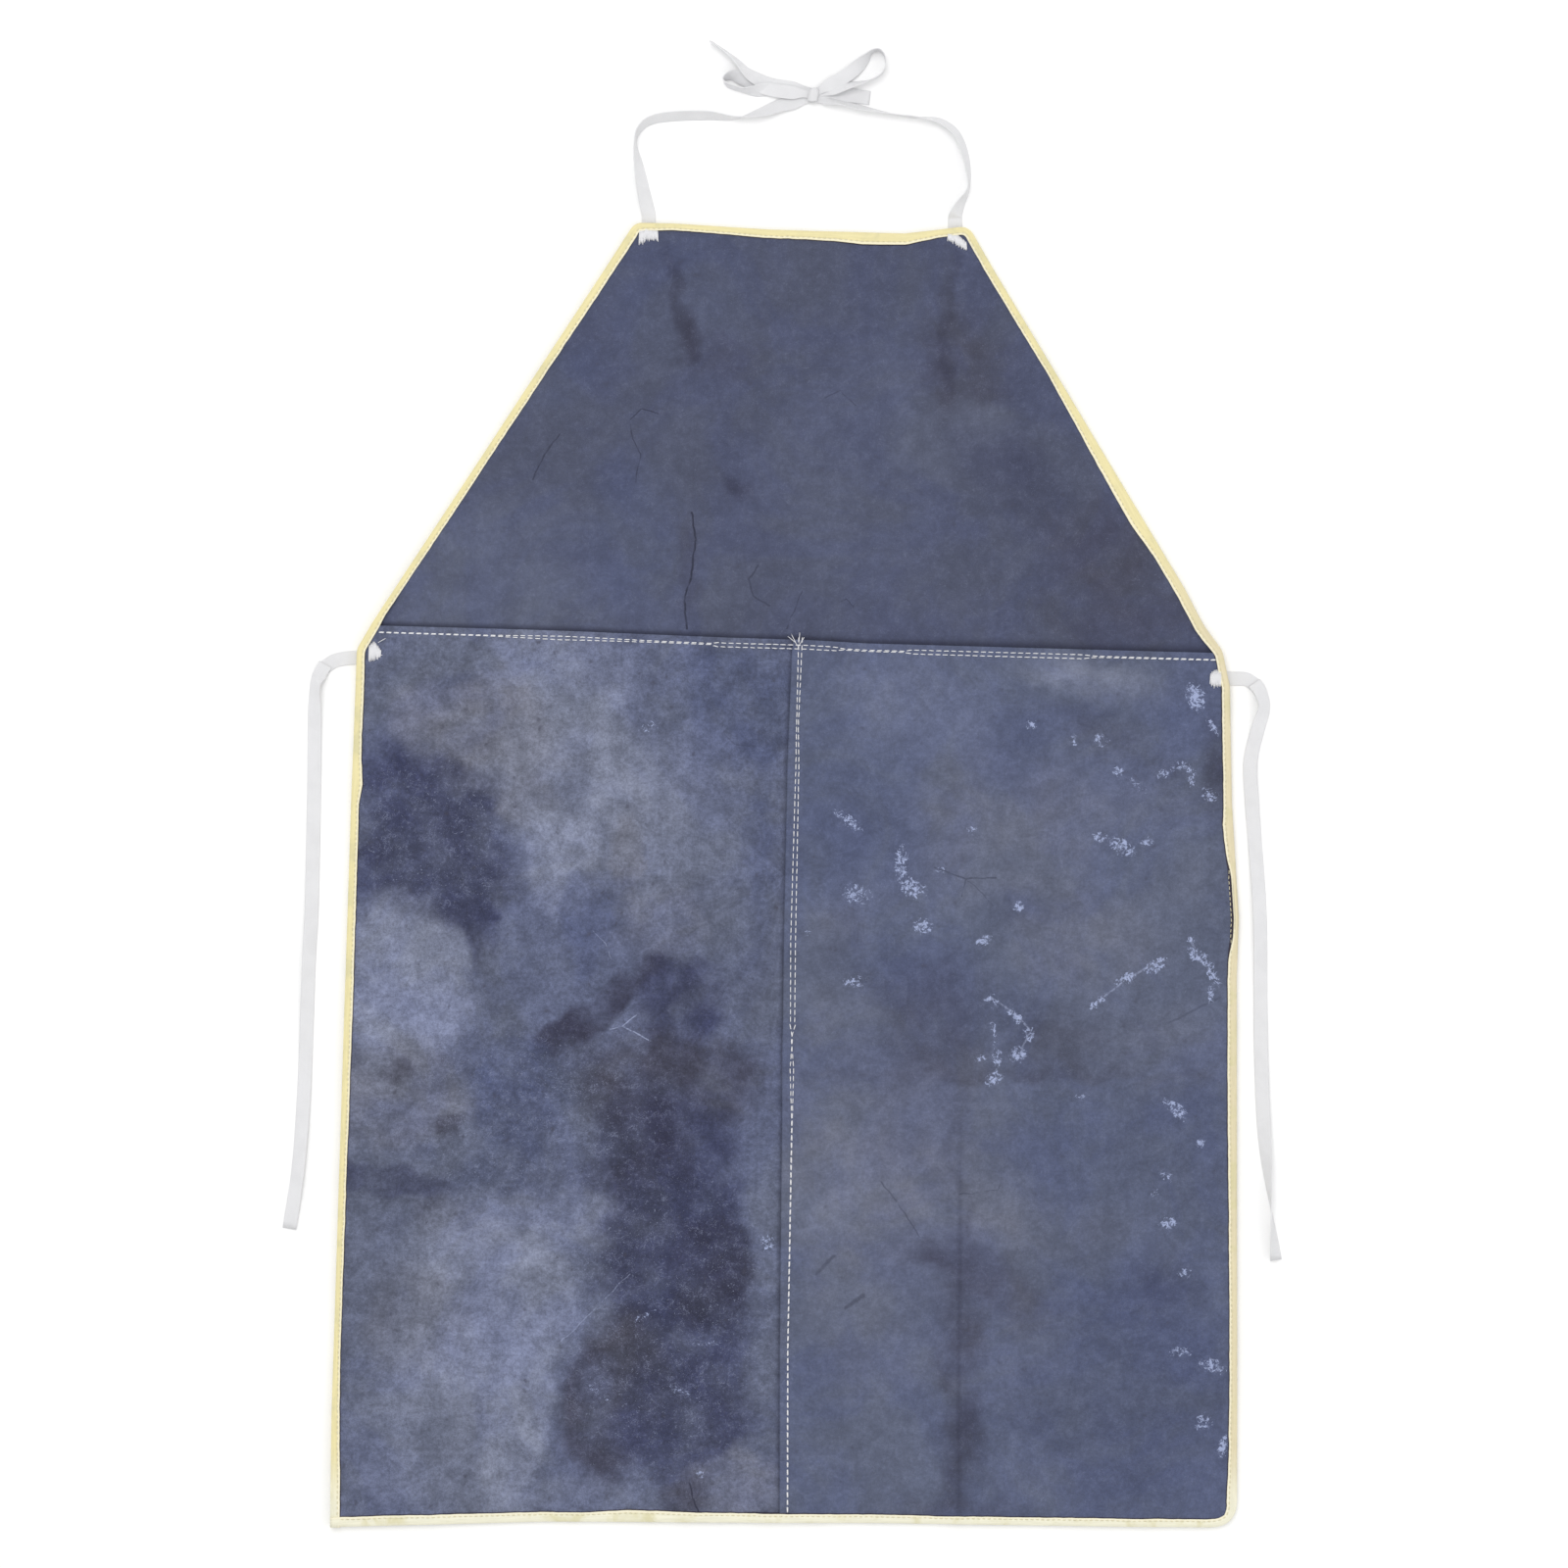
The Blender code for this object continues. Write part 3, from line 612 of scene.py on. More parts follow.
def leather_material(name):
    """Split leather: the dye laid down in the mesh, broken up by grain, with its marks and painted shade laid
    over it.
    """
    painter = Painter(f"{name}_split_leather", 0.8, sheen=0.04)
    flat = painter.vector_math("MULTIPLY", painter.attribute("lay", "Vector"), (1, 1, 0))
    patches = painter.noise(flat, 95, 8, 0.74, 0.15)
    mottle = painter.noise(flat, 400, 5, 0.8)
    grain = painter.noise(flat, 1500, 4, 0.6)
    crackle = painter.noise(flat, 330, 8, 0.82, 0.6)
    bent = painter.wandering(flat, 90, 0.0032)
    colour = grained(painter, flat, (patches, mottle, grain), CONTRAST[name])
    colour = painter.mix(fibres(painter, flat, patches), colour, linear(*FIBRE_COLOUR))
    colour = painter.mix(worn(painter, crackle), colour, linear(*WORN_COLOUR))
    furrows = veins(painter, bent, patches, name)
    colour = painter.mix(furrows, colour, linear(*VEIN_COLOUR))
    for points, half_width, strength in SCRATCHES[name]:
        scratch = painter.math("MULTIPLY", painter.line_share(bent, points, half_width), strength)
        scratch = painter.math("MULTIPLY", scratch, painter.remap(crackle, 0.38, 0.56))
        colour = painter.mix(scratch, colour, linear(*SCRATCH_COLOUR))
    rim = painter.math("ADD", painter.attribute("margin", "Fac"), painter.math("MULTIPLY", mottle, 0.0006))
    colour = painter.mix(painter.remap(rim, 0.0016, 0.0008, 0.0, 0.8), colour, linear(*RIM_COLOUR))
    # Painted shade: darker along the steps of the seams and down the old fold of the right panel
    colour = painter.mix(painter.attribute("shade", "Fac"), colour, linear(*SHADE_COLOUR))
    height = painter.math("ADD", painter.math("MULTIPLY", grain, 0.35), painter.math("MULTIPLY", mottle, 0.8))
    height = painter.math("SUBTRACT", height, furrows)
    roughness = painter.remap(mottle, 0.3, 0.7, 0.72, 0.9)
    return painter.finish(colour, height, 0.3, 0.0006, roughness)


def binding_material():
    """Pale yellow vinyl, lighter along its lips, with faint streaks and olive soiling."""
    painter = Painter("binding_vinyl", 0.5)
    run = painter.attribute("run", "Vector")
    place = painter.attribute("lay", "Vector")
    streaks = painter.noise(painter.vector_math("MULTIPLY", run, (60, 5, 0)), 1.0, 4, 0.6, 0.5)
    soil = painter.noise(place, 38, 4, 0.6, 0.8)
    where = painter.node("SeparateXYZ", {"Vector": place})
    right = painter.remap(where.outputs["X"], 0.24, 0.29)
    colour = painter.mix(right, linear(*STRIP_COLOUR), linear(*STRIP_RIGHT_COLOUR))
    hem = painter.remap(where.outputs["Y"], -0.38, -0.43)
    colour = painter.mix(hem, colour, linear(*STRIP_HEM_COLOUR))
    colour = painter.shaded(colour, streaks, 0.95, 1.04)
    colour = painter.mix(painter.remap(soil, 0.5, 0.7, 0.0, 0.75), colour, linear(*STRIP_SOIL_COLOUR))
    lip = painter.node("SeparateXYZ", {"Vector": run}).outputs["Y"]
    colour = painter.mix(painter.remap(lip, 0.76, 0.86, 0.0, 0.75), colour, linear(*STRIP_LIP_COLOUR))
    weave = painter.noise(place, 1300, 3, 0.6)
    height = painter.math("ADD", painter.math("MULTIPLY", weave, 0.4), streaks)
    return painter.finish(colour, height, 0.4, 0.0004, painter.remap(soil, 0.3, 0.7, 0.42, 0.62))


def cotton_material(name, tint, rib_across, rib_along):
    """Woven cotton, in ribs across and along, slightly soiled. Its places come from the mesh, in metres."""
    painter = Painter(name, 0.9, sheen=0.25)
    run = painter.attribute("run", "Vector")
    ribs = []
    for scale, direction in ((rib_along, "X"), (rib_across, "Y")):
        inputs = {"Vector": run, "Scale": scale, "Distortion": 0.6, "Detail": 1.0}
        ribs.append(painter.node("TexWave", inputs, bands_direction=direction).outputs["Fac"])
    weave = painter.math("MULTIPLY", *ribs)
    soil = painter.noise(run, 55, 4, 0.6, 0.5)
    colour = painter.shaded(painter.mix(0.0, linear(*tint), (0, 0, 0)), weave, 0.96, 1.02)
    colour = painter.shaded(colour, soil, 0.97, 1.01)
    return painter.finish(colour, weave, 0.6, 0.0003, painter.remap(soil, 0.3, 0.7, 0.82, 0.95))


# Meshes


def made_mesh(name, points, faces, surface):
    mesh = bpy.data.meshes.new(name)
    mesh.from_pydata(points, [], faces)
    mesh.materials.append(surface)
    mesh.shade_smooth()
    made = bpy.data.objects.new(name, mesh)
    bpy.context.scene.collection.objects.link(made)
    return made


def grid_faces(columns, rows):
    faces = []
    for row in range(rows - 1):
        for column in range(columns - 1):
            corner = row * columns + column
            faces.append((corner, corner + 1, corner + columns + 1, corner + columns))
    return faces


def carrying(thing, name, kind, values):
    """Stores one value for each point of a mesh, for its material to read."""
    key = {"FLOAT": "value", "FLOAT_VECTOR": "vector", "FLOAT_COLOR": "color"}[kind]
    layer = thing.data.attributes.new(name, kind, "POINT")
    layer.data.foreach_set(key, np.asarray(values, np.float32).ravel())


def made_solid(thing, thickness, offset, even=True):
    """Gives a sheet its thickness. even keeps it the same at bends, which suits all but tight folds."""
    solid = thing.modifiers.new("thickness", "SOLIDIFY")
    solid.thickness = thickness
    solid.offset = offset
    solid.use_even_offset = even


def applied(thing):
    """Applies the modifiers of a mesh."""
    view = bpy.context.evaluated_depsgraph_get()
    view.update()
    solid = thing.evaluated_get(view)
    mesh = bpy.data.meshes.new_from_object(solid, preserve_all_data_layers=True, depsgraph=view)
    thing.modifiers.clear()
    thing.data = mesh
    return thing


# Camera, light and floor


def camera():
    data = bpy.data.cameras.new("camera")
    data.lens = LENS
    data.sensor_width = SENSOR
    made = bpy.data.objects.new("camera", data)
    made.location = (*PICTURE_CENTRE, PICTURE_WIDTH * LENS / SENSOR)
    bpy.context.scene.collection.objects.link(made)
    bpy.context.scene.camera = made


def lamp(name, place, size, power):
    """A square soft lamp that faces the middle of the apron."""
    data = bpy.data.lights.new(name, "AREA")
    data.size = size
    data.energy = power
    made = bpy.data.objects.new(name, data)
    made.location = place
    made.rotation_euler = (Vector((0, 0, 0)) - Vector(place)).to_track_quat("-Z", "Y").to_euler()
    bpy.context.scene.collection.objects.link(made)


def studio():
    bpy.context.scene.view_settings.view_transform = "Standard"
    world = bpy.data.worlds.new("studio")
    world.use_nodes = True
    background = world.node_tree.nodes["Background"]
    background.inputs["Color"].default_value = (1, 1, 1, 1)
    background.inputs["Strength"].default_value = WORLD_STRENGTH
    bpy.context.scene.world = world
    for name, (place, size, power) in LAMPS.items():
        lamp(name, place, size, power)
    corners = [(x * FLOOR_REACH, y * FLOOR_REACH, 0) for x, y in ((-1, -1), (1, -1), (1, 1), (-1, 1))]
    floor = made_mesh("floor", corners, [(0, 1, 2, 3)], floor_material())
    floor.location.z = -FLOOR_DROP


def floor_material():
    painter = Painter("floor_paper", 0.95)
    place = painter.node("TexCoord", {}).outputs["Object"]
    fibre = painter.noise(place, 60, 3, 0.5)
    paper = painter.mix(0.0, (FLOOR_GREY, FLOOR_GREY, FLOOR_GREY), (0, 0, 0))
    colour = painter.shaded(paper, fibre, 0.995, 1.0)
    return painter.finish(colour, fibre, 0.05, 0.0005)


# Tapes


def smooth(route):
    """Points on a Catmull-Rom curve through the route. Each has as many numbers as a route point."""
    route = [Vector(point) for point in route]
    ends = [route[0] * 2 - route[1]] + route + [route[-1] * 2 - route[-2]]
    points = []
    for a, b, c, d in zip(ends, ends[1:], ends[2:], ends[3:]):
        for step in range(TAPE_STEPS):
            t = step / TAPE_STEPS
            points.append(0.5 * (2 * b + (c - a) * t + (2 * a - 5 * b + 4 * c - d) * t**2
                                 + (3 * b - a - 3 * c + d) * t**3))
    return points + [route[-1]]


TAPE_COLUMNS = (-0.5, -0.46, -0.25, 0.0, 0.25, 0.46, 0.5)  # across a tape, as shares of its width


def bunched(point):
    """The share of its width that a tape keeps near the knot."""
    away = (Vector(point[:2]) - Vector(KNOT_CENTRE)).length
    return BUNCHED_SHARE + (1 - BUNCHED_SHARE) * share((away - GATHER / 2) / GATHER)


def ribbon(name, route, surface):
    """A flat tape along a route, rolled and lifted as it says, and the line that its middle follows."""
    stations = smooth(route)
    middles = []
    for station in stations:
        width = TAPE_WIDTH * bunched(station)
        roll = radians(station[3])
        half_height = (width * abs(sin(roll)) + TAPE * abs(cos(roll))) / 2
        middles.append(Vector((station[0], station[1], max(0.0, station[2]) + half_height)))
    points = []
    run = []
    travelled = 0.0
    for k, (station, middle) in enumerate(zip(stations, middles)):
        ahead = middles[min(k + 1, len(middles) - 1)] - middles[max(k - 1, 0)]
        level = Vector((-ahead.y, ahead.x, 0)).normalized()
        across = Matrix.Rotation(radians(station[3]), 3, Vector((ahead.x, ahead.y, 0)).normalized()) @ level
        width = TAPE_WIDTH * bunched(station)
        if k:
            travelled += (middle - middles[k - 1]).length
        for column in TAPE_COLUMNS:
            points.append(middle + across * width * column)
            run.append((travelled, TAPE_WIDTH * column, 0))
    count = len(TAPE_COLUMNS)
    made = made_mesh(name, points, grid_faces(count, len(stations)), surface)
    carrying(made, "run", "FLOAT_VECTOR", run)
    made_solid(made, TAPE, 0, even=False)
    return applied(made), middles


def line_length(points):
    return sum((b - a).length for a, b in zip(points, points[1:]))


def declare_cord(tape, middles, first, **more):
    """Works out a tape's first free place, its length and its middle line, and keeps none of them."""
    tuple(middles[first])
    line_length(middles)
    [tuple(middle) for middle in middles]


def ties(surface):
    for name, route in TIES.items():
        tape, middles = ribbon(f"{name}_tape", route, surface)
        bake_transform(tape)
        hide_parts(name)
        declare_cord(tape, middles, 0)


def sewn_ends(surface):
    """The tie ends that are sewn under the leather. Each drops to pass under the binding."""
    climb = RIM_RISE - GAP - TAPE
    start, length = SEWN_END_CLIMB
    for name, route in SEWN_ENDS.items():
        lifted = [(x, y, climb * share((depth(x, y) - start) / length), 0) for x, y in route]
        tape, _ = ribbon(f"{name}_tape", lifted, surface)
        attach(tape, "skirt")
        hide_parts(name)


def neck_tapes(surface):
    """The neck tape's two halves: each goes from under the bib's top to its own loop and tail of the bow."""
    tapes = {}
    for side in ("left", "right"):
        name = f"neck_tape_{side}"
        route = NECK_TAPES[name]
        tape, middles = ribbon(f"{name}_cotton", route, surface)
        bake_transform(tape)
        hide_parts(name, f"{name}_sewn_end", f"bow_loop_{side}", f"bow_tail_{side}")
        tapes[side] = (tape, middles)
    knot = bow_knot(surface)
    for side, (tape, middles) in tapes.items():
        declare_cord(tape, middles, 3 * TAPE_STEPS, with_pieces=[knot] if side == "left" else [])


def bow_knot(surface):
    """The band of tape that is wound round the middle of the bow, creased where it is pulled tight."""
    turns = KNOT_TURNS
    points = []
    run = []
    for row in range(KNOT_ROWS):
        t = row / (KNOT_ROWS - 1) - 0.5
        for turn in range(turns):
            angle = 2 * pi * turn / turns
            pinch = 1 - KNOT_TAPER * (2 * t) ** 2 + KNOT_CREASE * sin(9 * angle + 14 * t)
            x = KNOT_CENTRE[0] + KNOT_SIZE[0] / 2 * cos(angle) * pinch + t * KNOT_LEAN
            y = KNOT_CENTRE[1] + t * KNOT_SIZE[1] * (1 - 0.1 * cos(angle) ** 2)
            z = TAPE + KNOT_SIZE[2] / 2 * (1 + sin(angle) * pinch)
            points.append(Vector((x, y, z)))
            run.append((angle * KNOT_SIZE[0] / 2, t * KNOT_SIZE[1], 0))
    faces = []
    for low in range(0, (KNOT_ROWS - 1) * turns, turns):
        for turn in range(turns):
            after = (turn + 1) % turns
            faces.append((low + turn, low + after, low + turns + after, low + turns + turn))
    made = made_mesh("bow_knot_band", points, faces, surface)
    carrying(made, "run", "FLOAT_VECTOR", run)
    made_solid(made, TAPE, -1)
    applied(made)
    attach(made, "neck_loop")
    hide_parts("bow_knot")
    return made


# Leather

# Soft stains in mm: middle, half width, half height, turn in degrees, dye and strength, one over another. The
# few thin lines marked below are painted shade in creases.
STAINS = {
    "bib": (
        (-198, 195, 75, 50, 10, "slate", 0.6), (-90, 190, 50, 30, 0, "slate", 0.3),
        (-102, 230, 30, 45, 0, "blue", 0.45), (50, 260, 60, 80, 0, "slate", 0.25),
        (-70, 395, 50, 40, 0, "blue", 0.35), (90, 330, 30, 60, 0, "slate", 0.2),
        (122, 339, 28, 40, 20, "dusk", 0.55), (134, 301, 20, 16, 0, "slate", 0.65),
        (155, 270, 45, 22, -35, "deep", 0.45), (218, 220, 45, 30, 0, "dusk", 0.65),
        (240, 175, 60, 16, 0, "dusk", 0.55), (-72.5, 390, 5, 34, 8, "black", 0.45),
        (-68, 364, 7, 14, 0, "black", 0.5), (-40, 350, 22, 12, 0, "dusk", 0.35),
        # (111, 370) on the next line: a thin line of painted shade down the crease on the right of the bib
        (-28.4, 262.7, 15, 6, -35, "black", 0.38), (111, 370, 6, 55, 0, "black", 0.35),
        (-62, 205, 6, 30, 0, "dusk", 0.4), (-145, 335, 30, 12, 40, "blue", 0.4),
    ),
    "skirt_left": (
        (-155, 120, 60, 45, 0, "pale", 0.65), (-208, 100, 55, 38, -20, "haze", 0.9),
        (-235, 142, 40, 14, 10, "slate", 0.6), (-135, 60, 70, 45, 0, "pale", 0.4),
        (-30, 115, 45, 40, 0, "blue", 0.75), (-82, 115, 20, 45, 10, "slate", 0.5),
        (-237, 56, 50, 30, -20, "deep", 0.85), (-240, 2, 55, 45, 0, "deep", 0.8),
        (-172, 50, 20, 16, 0, "haze", 0.5), (-150, 8, 26, 40, 5, "pale", 0.85),
        (-112, 51, 18, 30, 25, "pale", 0.8), (-60, 30, 40, 70, 0, "pale", 0.3),
        (-108, 13, 12, 28, 0, "haze", 0.6), (-40, 0, 30, 60, 0, "slate", 0.6),
        (-135, -30, 16, 35, 0, "blue", 0.6), (-86, -34, 30, 28, 0, "haze", 0.4),
        (-257, -73, 46, 56, 0, "pale", 1.0), (-203, -39, 10, 30, 5, "deep", 0.95),
        (-175, -70, 35, 35, 0, "slate", 0.7), (-123, -88, 52, 11.5, 32, "black", 0.68),
        (-148, -108, 24, 12, 20, "black", 0.5), (-68, -90, 30, 30, 0, "deep", 0.8),
        (-80, -140, 65, 35, 0, "dusk", 0.8), (-260, -145, 50, 35, 0, "haze", 0.55),
        (-180, -145, 35, 35, 20, "blue", 0.7), (-80, -205, 52, 65, 0, "deep", 0.75),
        (-90, -190, 30, 50, 10, "black", 0.55), (-264, -203, 50, 11, -4, "deep", 0.65),
        (-193, -198, 35, 22, 25, "blue", 0.55), (-215, -235, 35, 20, -20, "dusk", 0.35),
        (-135, -230, 40, 18, -10, "pale", 0.45), (-198, -290, 60, 75, 0, "pale", 0.7),
        (-72, -275, 48, 80, 8, "deep", 0.85), (-48, -265, 25, 40, 0, "black", 0.5),
        (-15, -225, 16, 45, 0, "slate", 0.55), (-250, -300, 35, 35, 0, "haze", 0.35),
        (-240, -370, 60, 60, 0, "pale", 0.35), (-178, -360, 22, 70, -12, "pale", 0.75),
        (-115, -350, 30, 60, -14, "dusk", 0.75), (-70, -365, 45, 40, 0, "deep", 0.8),
        (-33, -410, 38, 20, 0, "haze", 0.6), (-68, -415, 20, 14, 20, "dusk", 0.6),
        (-150, -420, 60, 16, 0, "pale", 0.35), (-228, -168, 12, 8, 0, "black", 0.55),
        (-262, -135, 12, 9, 0, "dusk", 0.55), (-18, 30, 10, 80, 0, "blue", 0.4),
    ),
    "skirt_right": (
        (45, 105, 45, 45, 0, "blue", 0.15), (85, 120, 45, 30, 0, "pale", 0.3),
        (208, 133, 40, 13, -8, "pale", 0.75), (245, 110, 45, 18, 0, "blue", 0.45),
        (220, 92, 40, 12, -20, "dusk", 0.3), (122, 38, 30, 45, -10, "haze", 0.39),
        (160, 85, 25, 22, 0, "blue", 0.35), (190, 45, 32, 30, 20, "haze", 0.36),
        (175, -10, 28, 50, 10, "haze", 0.3), (250, 50, 35, 18, 0, "haze", 0.21),
        (290, 75, 10, 26, 0, "black", 0.5), (40, 30, 45, 28, 0, "blue", 0.4),
        (55, -15, 40, 14, 0, "slate", 0.5), (165, -25, 28, 16, 0, "blue", 0.5),
        (35, -38, 22, 18, 0, "haze", 0.33), (210, -45, 40, 30, 15, "haze", 0.36),
        (270, 0, 25, 30, 0, "slate", 0.7), (70, -62, 50, 20, -20, "blue", 0.6),
        (35, -95, 30, 30, 0, "haze", 0.24), (102, -104, 34, 44, 0, "dusk", 0.5),
        (186, -114, 30, 22, 0, "dusk", 0.45), (146, -98, 20, 18, 0, "blue", 0.6),
        # (150, -133) on the next line: a thin line of painted shade along the crease across the right panel
        (150, -133, 150, 3.5, 0, "dusk", 0.4), (260, -115, 40, 24, 0, "haze", 0.27),
        (70, -196, 70, 58, 0, "haze", 0.57), (35, -225, 30, 35, 0, "pale", 0.25),
        (147, -235, 22, 22, 0, "haze", 0.36), (125, -160, 30, 16, 0, "slate", 0.5),
        (195, -190, 40, 45, 0, "blue", 0.35), (250, -180, 45, 50, 0, "blue", 0.45),
        # (117.8, -205) on the next line: a thin line of painted shade down the old fold of the right panel
        (117.8, -205, 4.5, 60, 0, "dusk", 0.22), (108, -258, 22, 8, -12, "black", 0.6),
        (145, -280, 36, 20, -30, "dusk", 0.55), (198, -245, 40, 20, 0, "haze", 0.18),
        (60, -300, 50, 45, 0, "haze", 0.27), (117, -325, 12, 60, 0, "dusk", 0.55),
        (118, -390, 12, 32, 0, "black", 0.5), (160, -320, 35, 40, 20, "haze", 0.18),
        (50, -390, 50, 40, 0, "slate", 0.4), (20, -335, 14, 30, 0, "blue", 0.35),
        (245, -300, 60, 45, -30, "blue", 0.6), (230, -365, 70, 60, 0, "blue", 0.85),
        (255, -275, 20, 20, 0, "deep", 0.35), (165, -405, 30, 25, 0, "slate", 0.4),
        (117, -425, 40, 6, 0, "dusk", 0.4),
    ),
}
BASE_DYES = {"bib": (75, 80, 103), "skirt_left": (90, 96, 120), "skirt_right": (86, 93, 118)}

# Patches in mm where the surface is cracked and worn pale: middle, half width, half height, turn, strength
SCUFFS = {
    "bib": (),
    "skirt_left": (
        (-11, -248, 6, 7, 0, 0.48), (-56, -403, 5, 3, 0, 0.48), (-90, 100, 10, 5, 20, 0.38),
        (-290, 48, 8, 10, 0, 0.4), (-95, -297, 18, 3, 30, 0.37), (-123, -350, 20, 4, -40, 0.37),
        (-70, -348, 18, 4, -30, 0.36), (-52, -315, 18, 3, 0, 0.36),
    ),
    "skirt_right": (
        (276.5, 120.5, 7, 11.5, 15, 0.56), (288.5, 100, 3, 8.5, 30, 0.51), (166.3, 100.7, 5, 4, 20, 0.51),
        (195, 90, 3, 6, 0, 0.45), (213, 90, 7, 6, 0, 0.43), (224, 70, 6, 4, -30, 0.48),
        (238, 60, 10, 3, -45, 0.45), (255, 69, 7.5, 4, 25, 0.47), (268, 75, 8, 3.5, 10, 0.48),
        (273, 68, 4, 10, 0, 0.48), (286, 54.7, 7.5, 5, -20, 0.49), (43, 37, 14, 4.5, -38, 0.48),
        (213, 25, 8, 4, -15, 0.48), (227, 19, 11, 6, -30, 0.51), (244, 22, 6, 4, 30, 0.48),
        (79, 8, 6, 15, 0, 0.49), (86, -8, 12, 8, -20, 0.48), (48, -12, 14, 9, -20, 0.43),
        (94, -34, 8, 6.5, 0, 0.48), (158.4, -21.5, 4.5, 5.5, 0, 0.52), (135.7, -44.6, 6.5, 4.5, 10, 0.52),
        (105, 3, 6, 3, 0, 0.43), (127, 30, 5, 4, 0, 0.44), (212, -85, 10, 3.5, 38, 0.48),
        (229.7, -70, 8.5, 4.5, 25, 0.52), (250, -60.7, 10, 5, 30, 0.51), (278, -54, 9, 6, -30, 0.51),
        (288, -66, 4.5, 12, 25, 0.51), (286.4, -80, 3, 8, 0, 0.5), (273, -43, 3, 5, 20, 0.49),
        (141, -85, 8, 4.5, -40, 0.48), (156, -95, 9, 4, -45, 0.49), (165, -107, 5, 6, 0, 0.47),
        (157, -120, 7, 7, 0, 0.5), (141, -105, 2.5, 12, 5, 0.49), (143, -124, 4, 9, 0, 0.53),
        (132, -122.5, 6.5, 3, 10, 0.51), (141.3, -136.5, 7.5, 5, 25, 0.54), (48, -72, 10, 5, 0, 0.45),
        (263, -157, 13, 5, -45, 0.51), (280, -180, 4.5, 4, 0, 0.49), (258, -203, 7, 4, -40, 0.47),
        (250, -214, 3, 5, 0, 0.46), (257.4, -233.6, 8.5, 5, 0, 0.48), (199, -148, 8, 3, 0, 0.42),
        (266, -320, 10, 4.5, 0, 0.48), (287, -330, 11, 5.5, -15, 0.5), (296, -385, 4, 9.5, -10, 0.54),
        (282, -368, 8, 8, 0, 0.43), (270, -268, 6, 4, 0, 0.44), (15, -38, 3, 3, 0, 0.5),
    ),
}

# How far stain edges wander, at three sizes: (size, reach)
WANDERING = ((0.06, 0.008), (0.022, 0.0065), (0.009, 0.0045))
STAIN_SOFTNESS = {"bib": 0.5, "skirt_left": 0.26, "skirt_right": 0.8}
STAIN_BLOTCHES = (0.019, 0.7)  # size and strength of the thin places in every stain
SCUFF_WANDER = 0.15  # share of that wandering which the edges of scuffs have
SCUFF_SOFTNESS = 0.7

# Places in mm where the pale fibres show in full, as ellipses, and how much they show elsewhere
FLECK_SOFTNESS = 0.5
FLECK_BASE = 0.3
FLECKED = ((-235, 25, 65, 60, 0), (-80, -300, 85, 120, 0), (-170, -160, 110, 60, 0))


def wandered(places):
    """Places moved by smooth noise, which makes the outline of a stain irregular."""
    moved = places.copy()
    for size, reach in WANDERING:
        for axis in (0, 1):
            shift = [noise.noise(Vector((x / size, y / size, 11.3 + 7.9 * axis))) for x, y in places]
            moved[:, axis] += reach * np.array(shift)
    return moved


def nearness(places, ellipse, softness):
    """1 inside an ellipse, easing to 0 outside it. The ellipse is in millimetres, and its turn in degrees."""
    x, y, half_width, half_height = (value / PER_METRE for value in ellipse[:4])
    turn = radians(ellipse[4])
    c, s = cos(turn), sin(turn)
    dx = places[:, 0] - x
    dy = places[:, 1] - y
    out = np.hypot((dx * c + dy * s) / half_width, (dy * c - dx * s) / half_height)
    inside = np.clip((1 + softness - out) / (2 * softness), 0, 1)
    return inside * inside * (3 - 2 * inside)


# Painted shade along the steps of the seams and in the straight old fold down the right panel: how strong, how
# wide, and the fold's middle, its top, and the length over which it fades in
WAIST_SHADE, WAIST_SHADE_WIDTH, WAIST_SHADE_MORE, WAIST_SHADE_GROWS = 0.62, 0.004, 0.003, 0.2
CENTRE_SHADE, CENTRE_SHADE_WIDTH = 0.55, 0.0022
OLD_FOLD_SHADE, OLD_FOLD_WIDTH, OLD_FOLD_X, OLD_FOLD_TOP, OLD_FOLD_FADE = 0.3, 0.0026, 0.1178, -0.138, 0.06


def painted_seam_shade(x, y, name):
    """Painted shade along the step of a seam, on the lower layer, and in an old fold."""
    if name == "bib":
        width = WAIST_SHADE_WIDTH + WAIST_SHADE_MORE * share(x / WAIST_SHADE_GROWS)
        return WAIST_SHADE * share(1 - (y - waist_edge(x) - 0.0004) / width)
    if name == "skirt_left":
        return CENTRE_SHADE * share(1 - (centre_edge(y) - x - 0.0002) / CENTRE_SHADE_WIDTH)
    across = share(1 - abs(x - OLD_FOLD_X) / OLD_FOLD_WIDTH)
    return OLD_FOLD_SHADE * across * share((OLD_FOLD_TOP - y) / OLD_FOLD_FADE)


def past_strip(lay):
    """How far in from the strip each place is, told exactly only near it."""
    line = np.array(STRIP_LINE)
    reach = np.array(FRONT_WIDTHS) + [SLIP_GAP * slipped(edge) for edge in STRIP_LINE]
    past = np.full(len(lay), NO_RISE)
    for k, (x, y, _) in enumerate(lay):
        inset = depth(x, y)
        if inset < 2.5 * BINDING_WIDTH:
            nearest = np.argmin((line[:, 0] - x) ** 2 + (line[:, 1] - y) ** 2)
            past[k] = inset - reach[nearest]
    return past


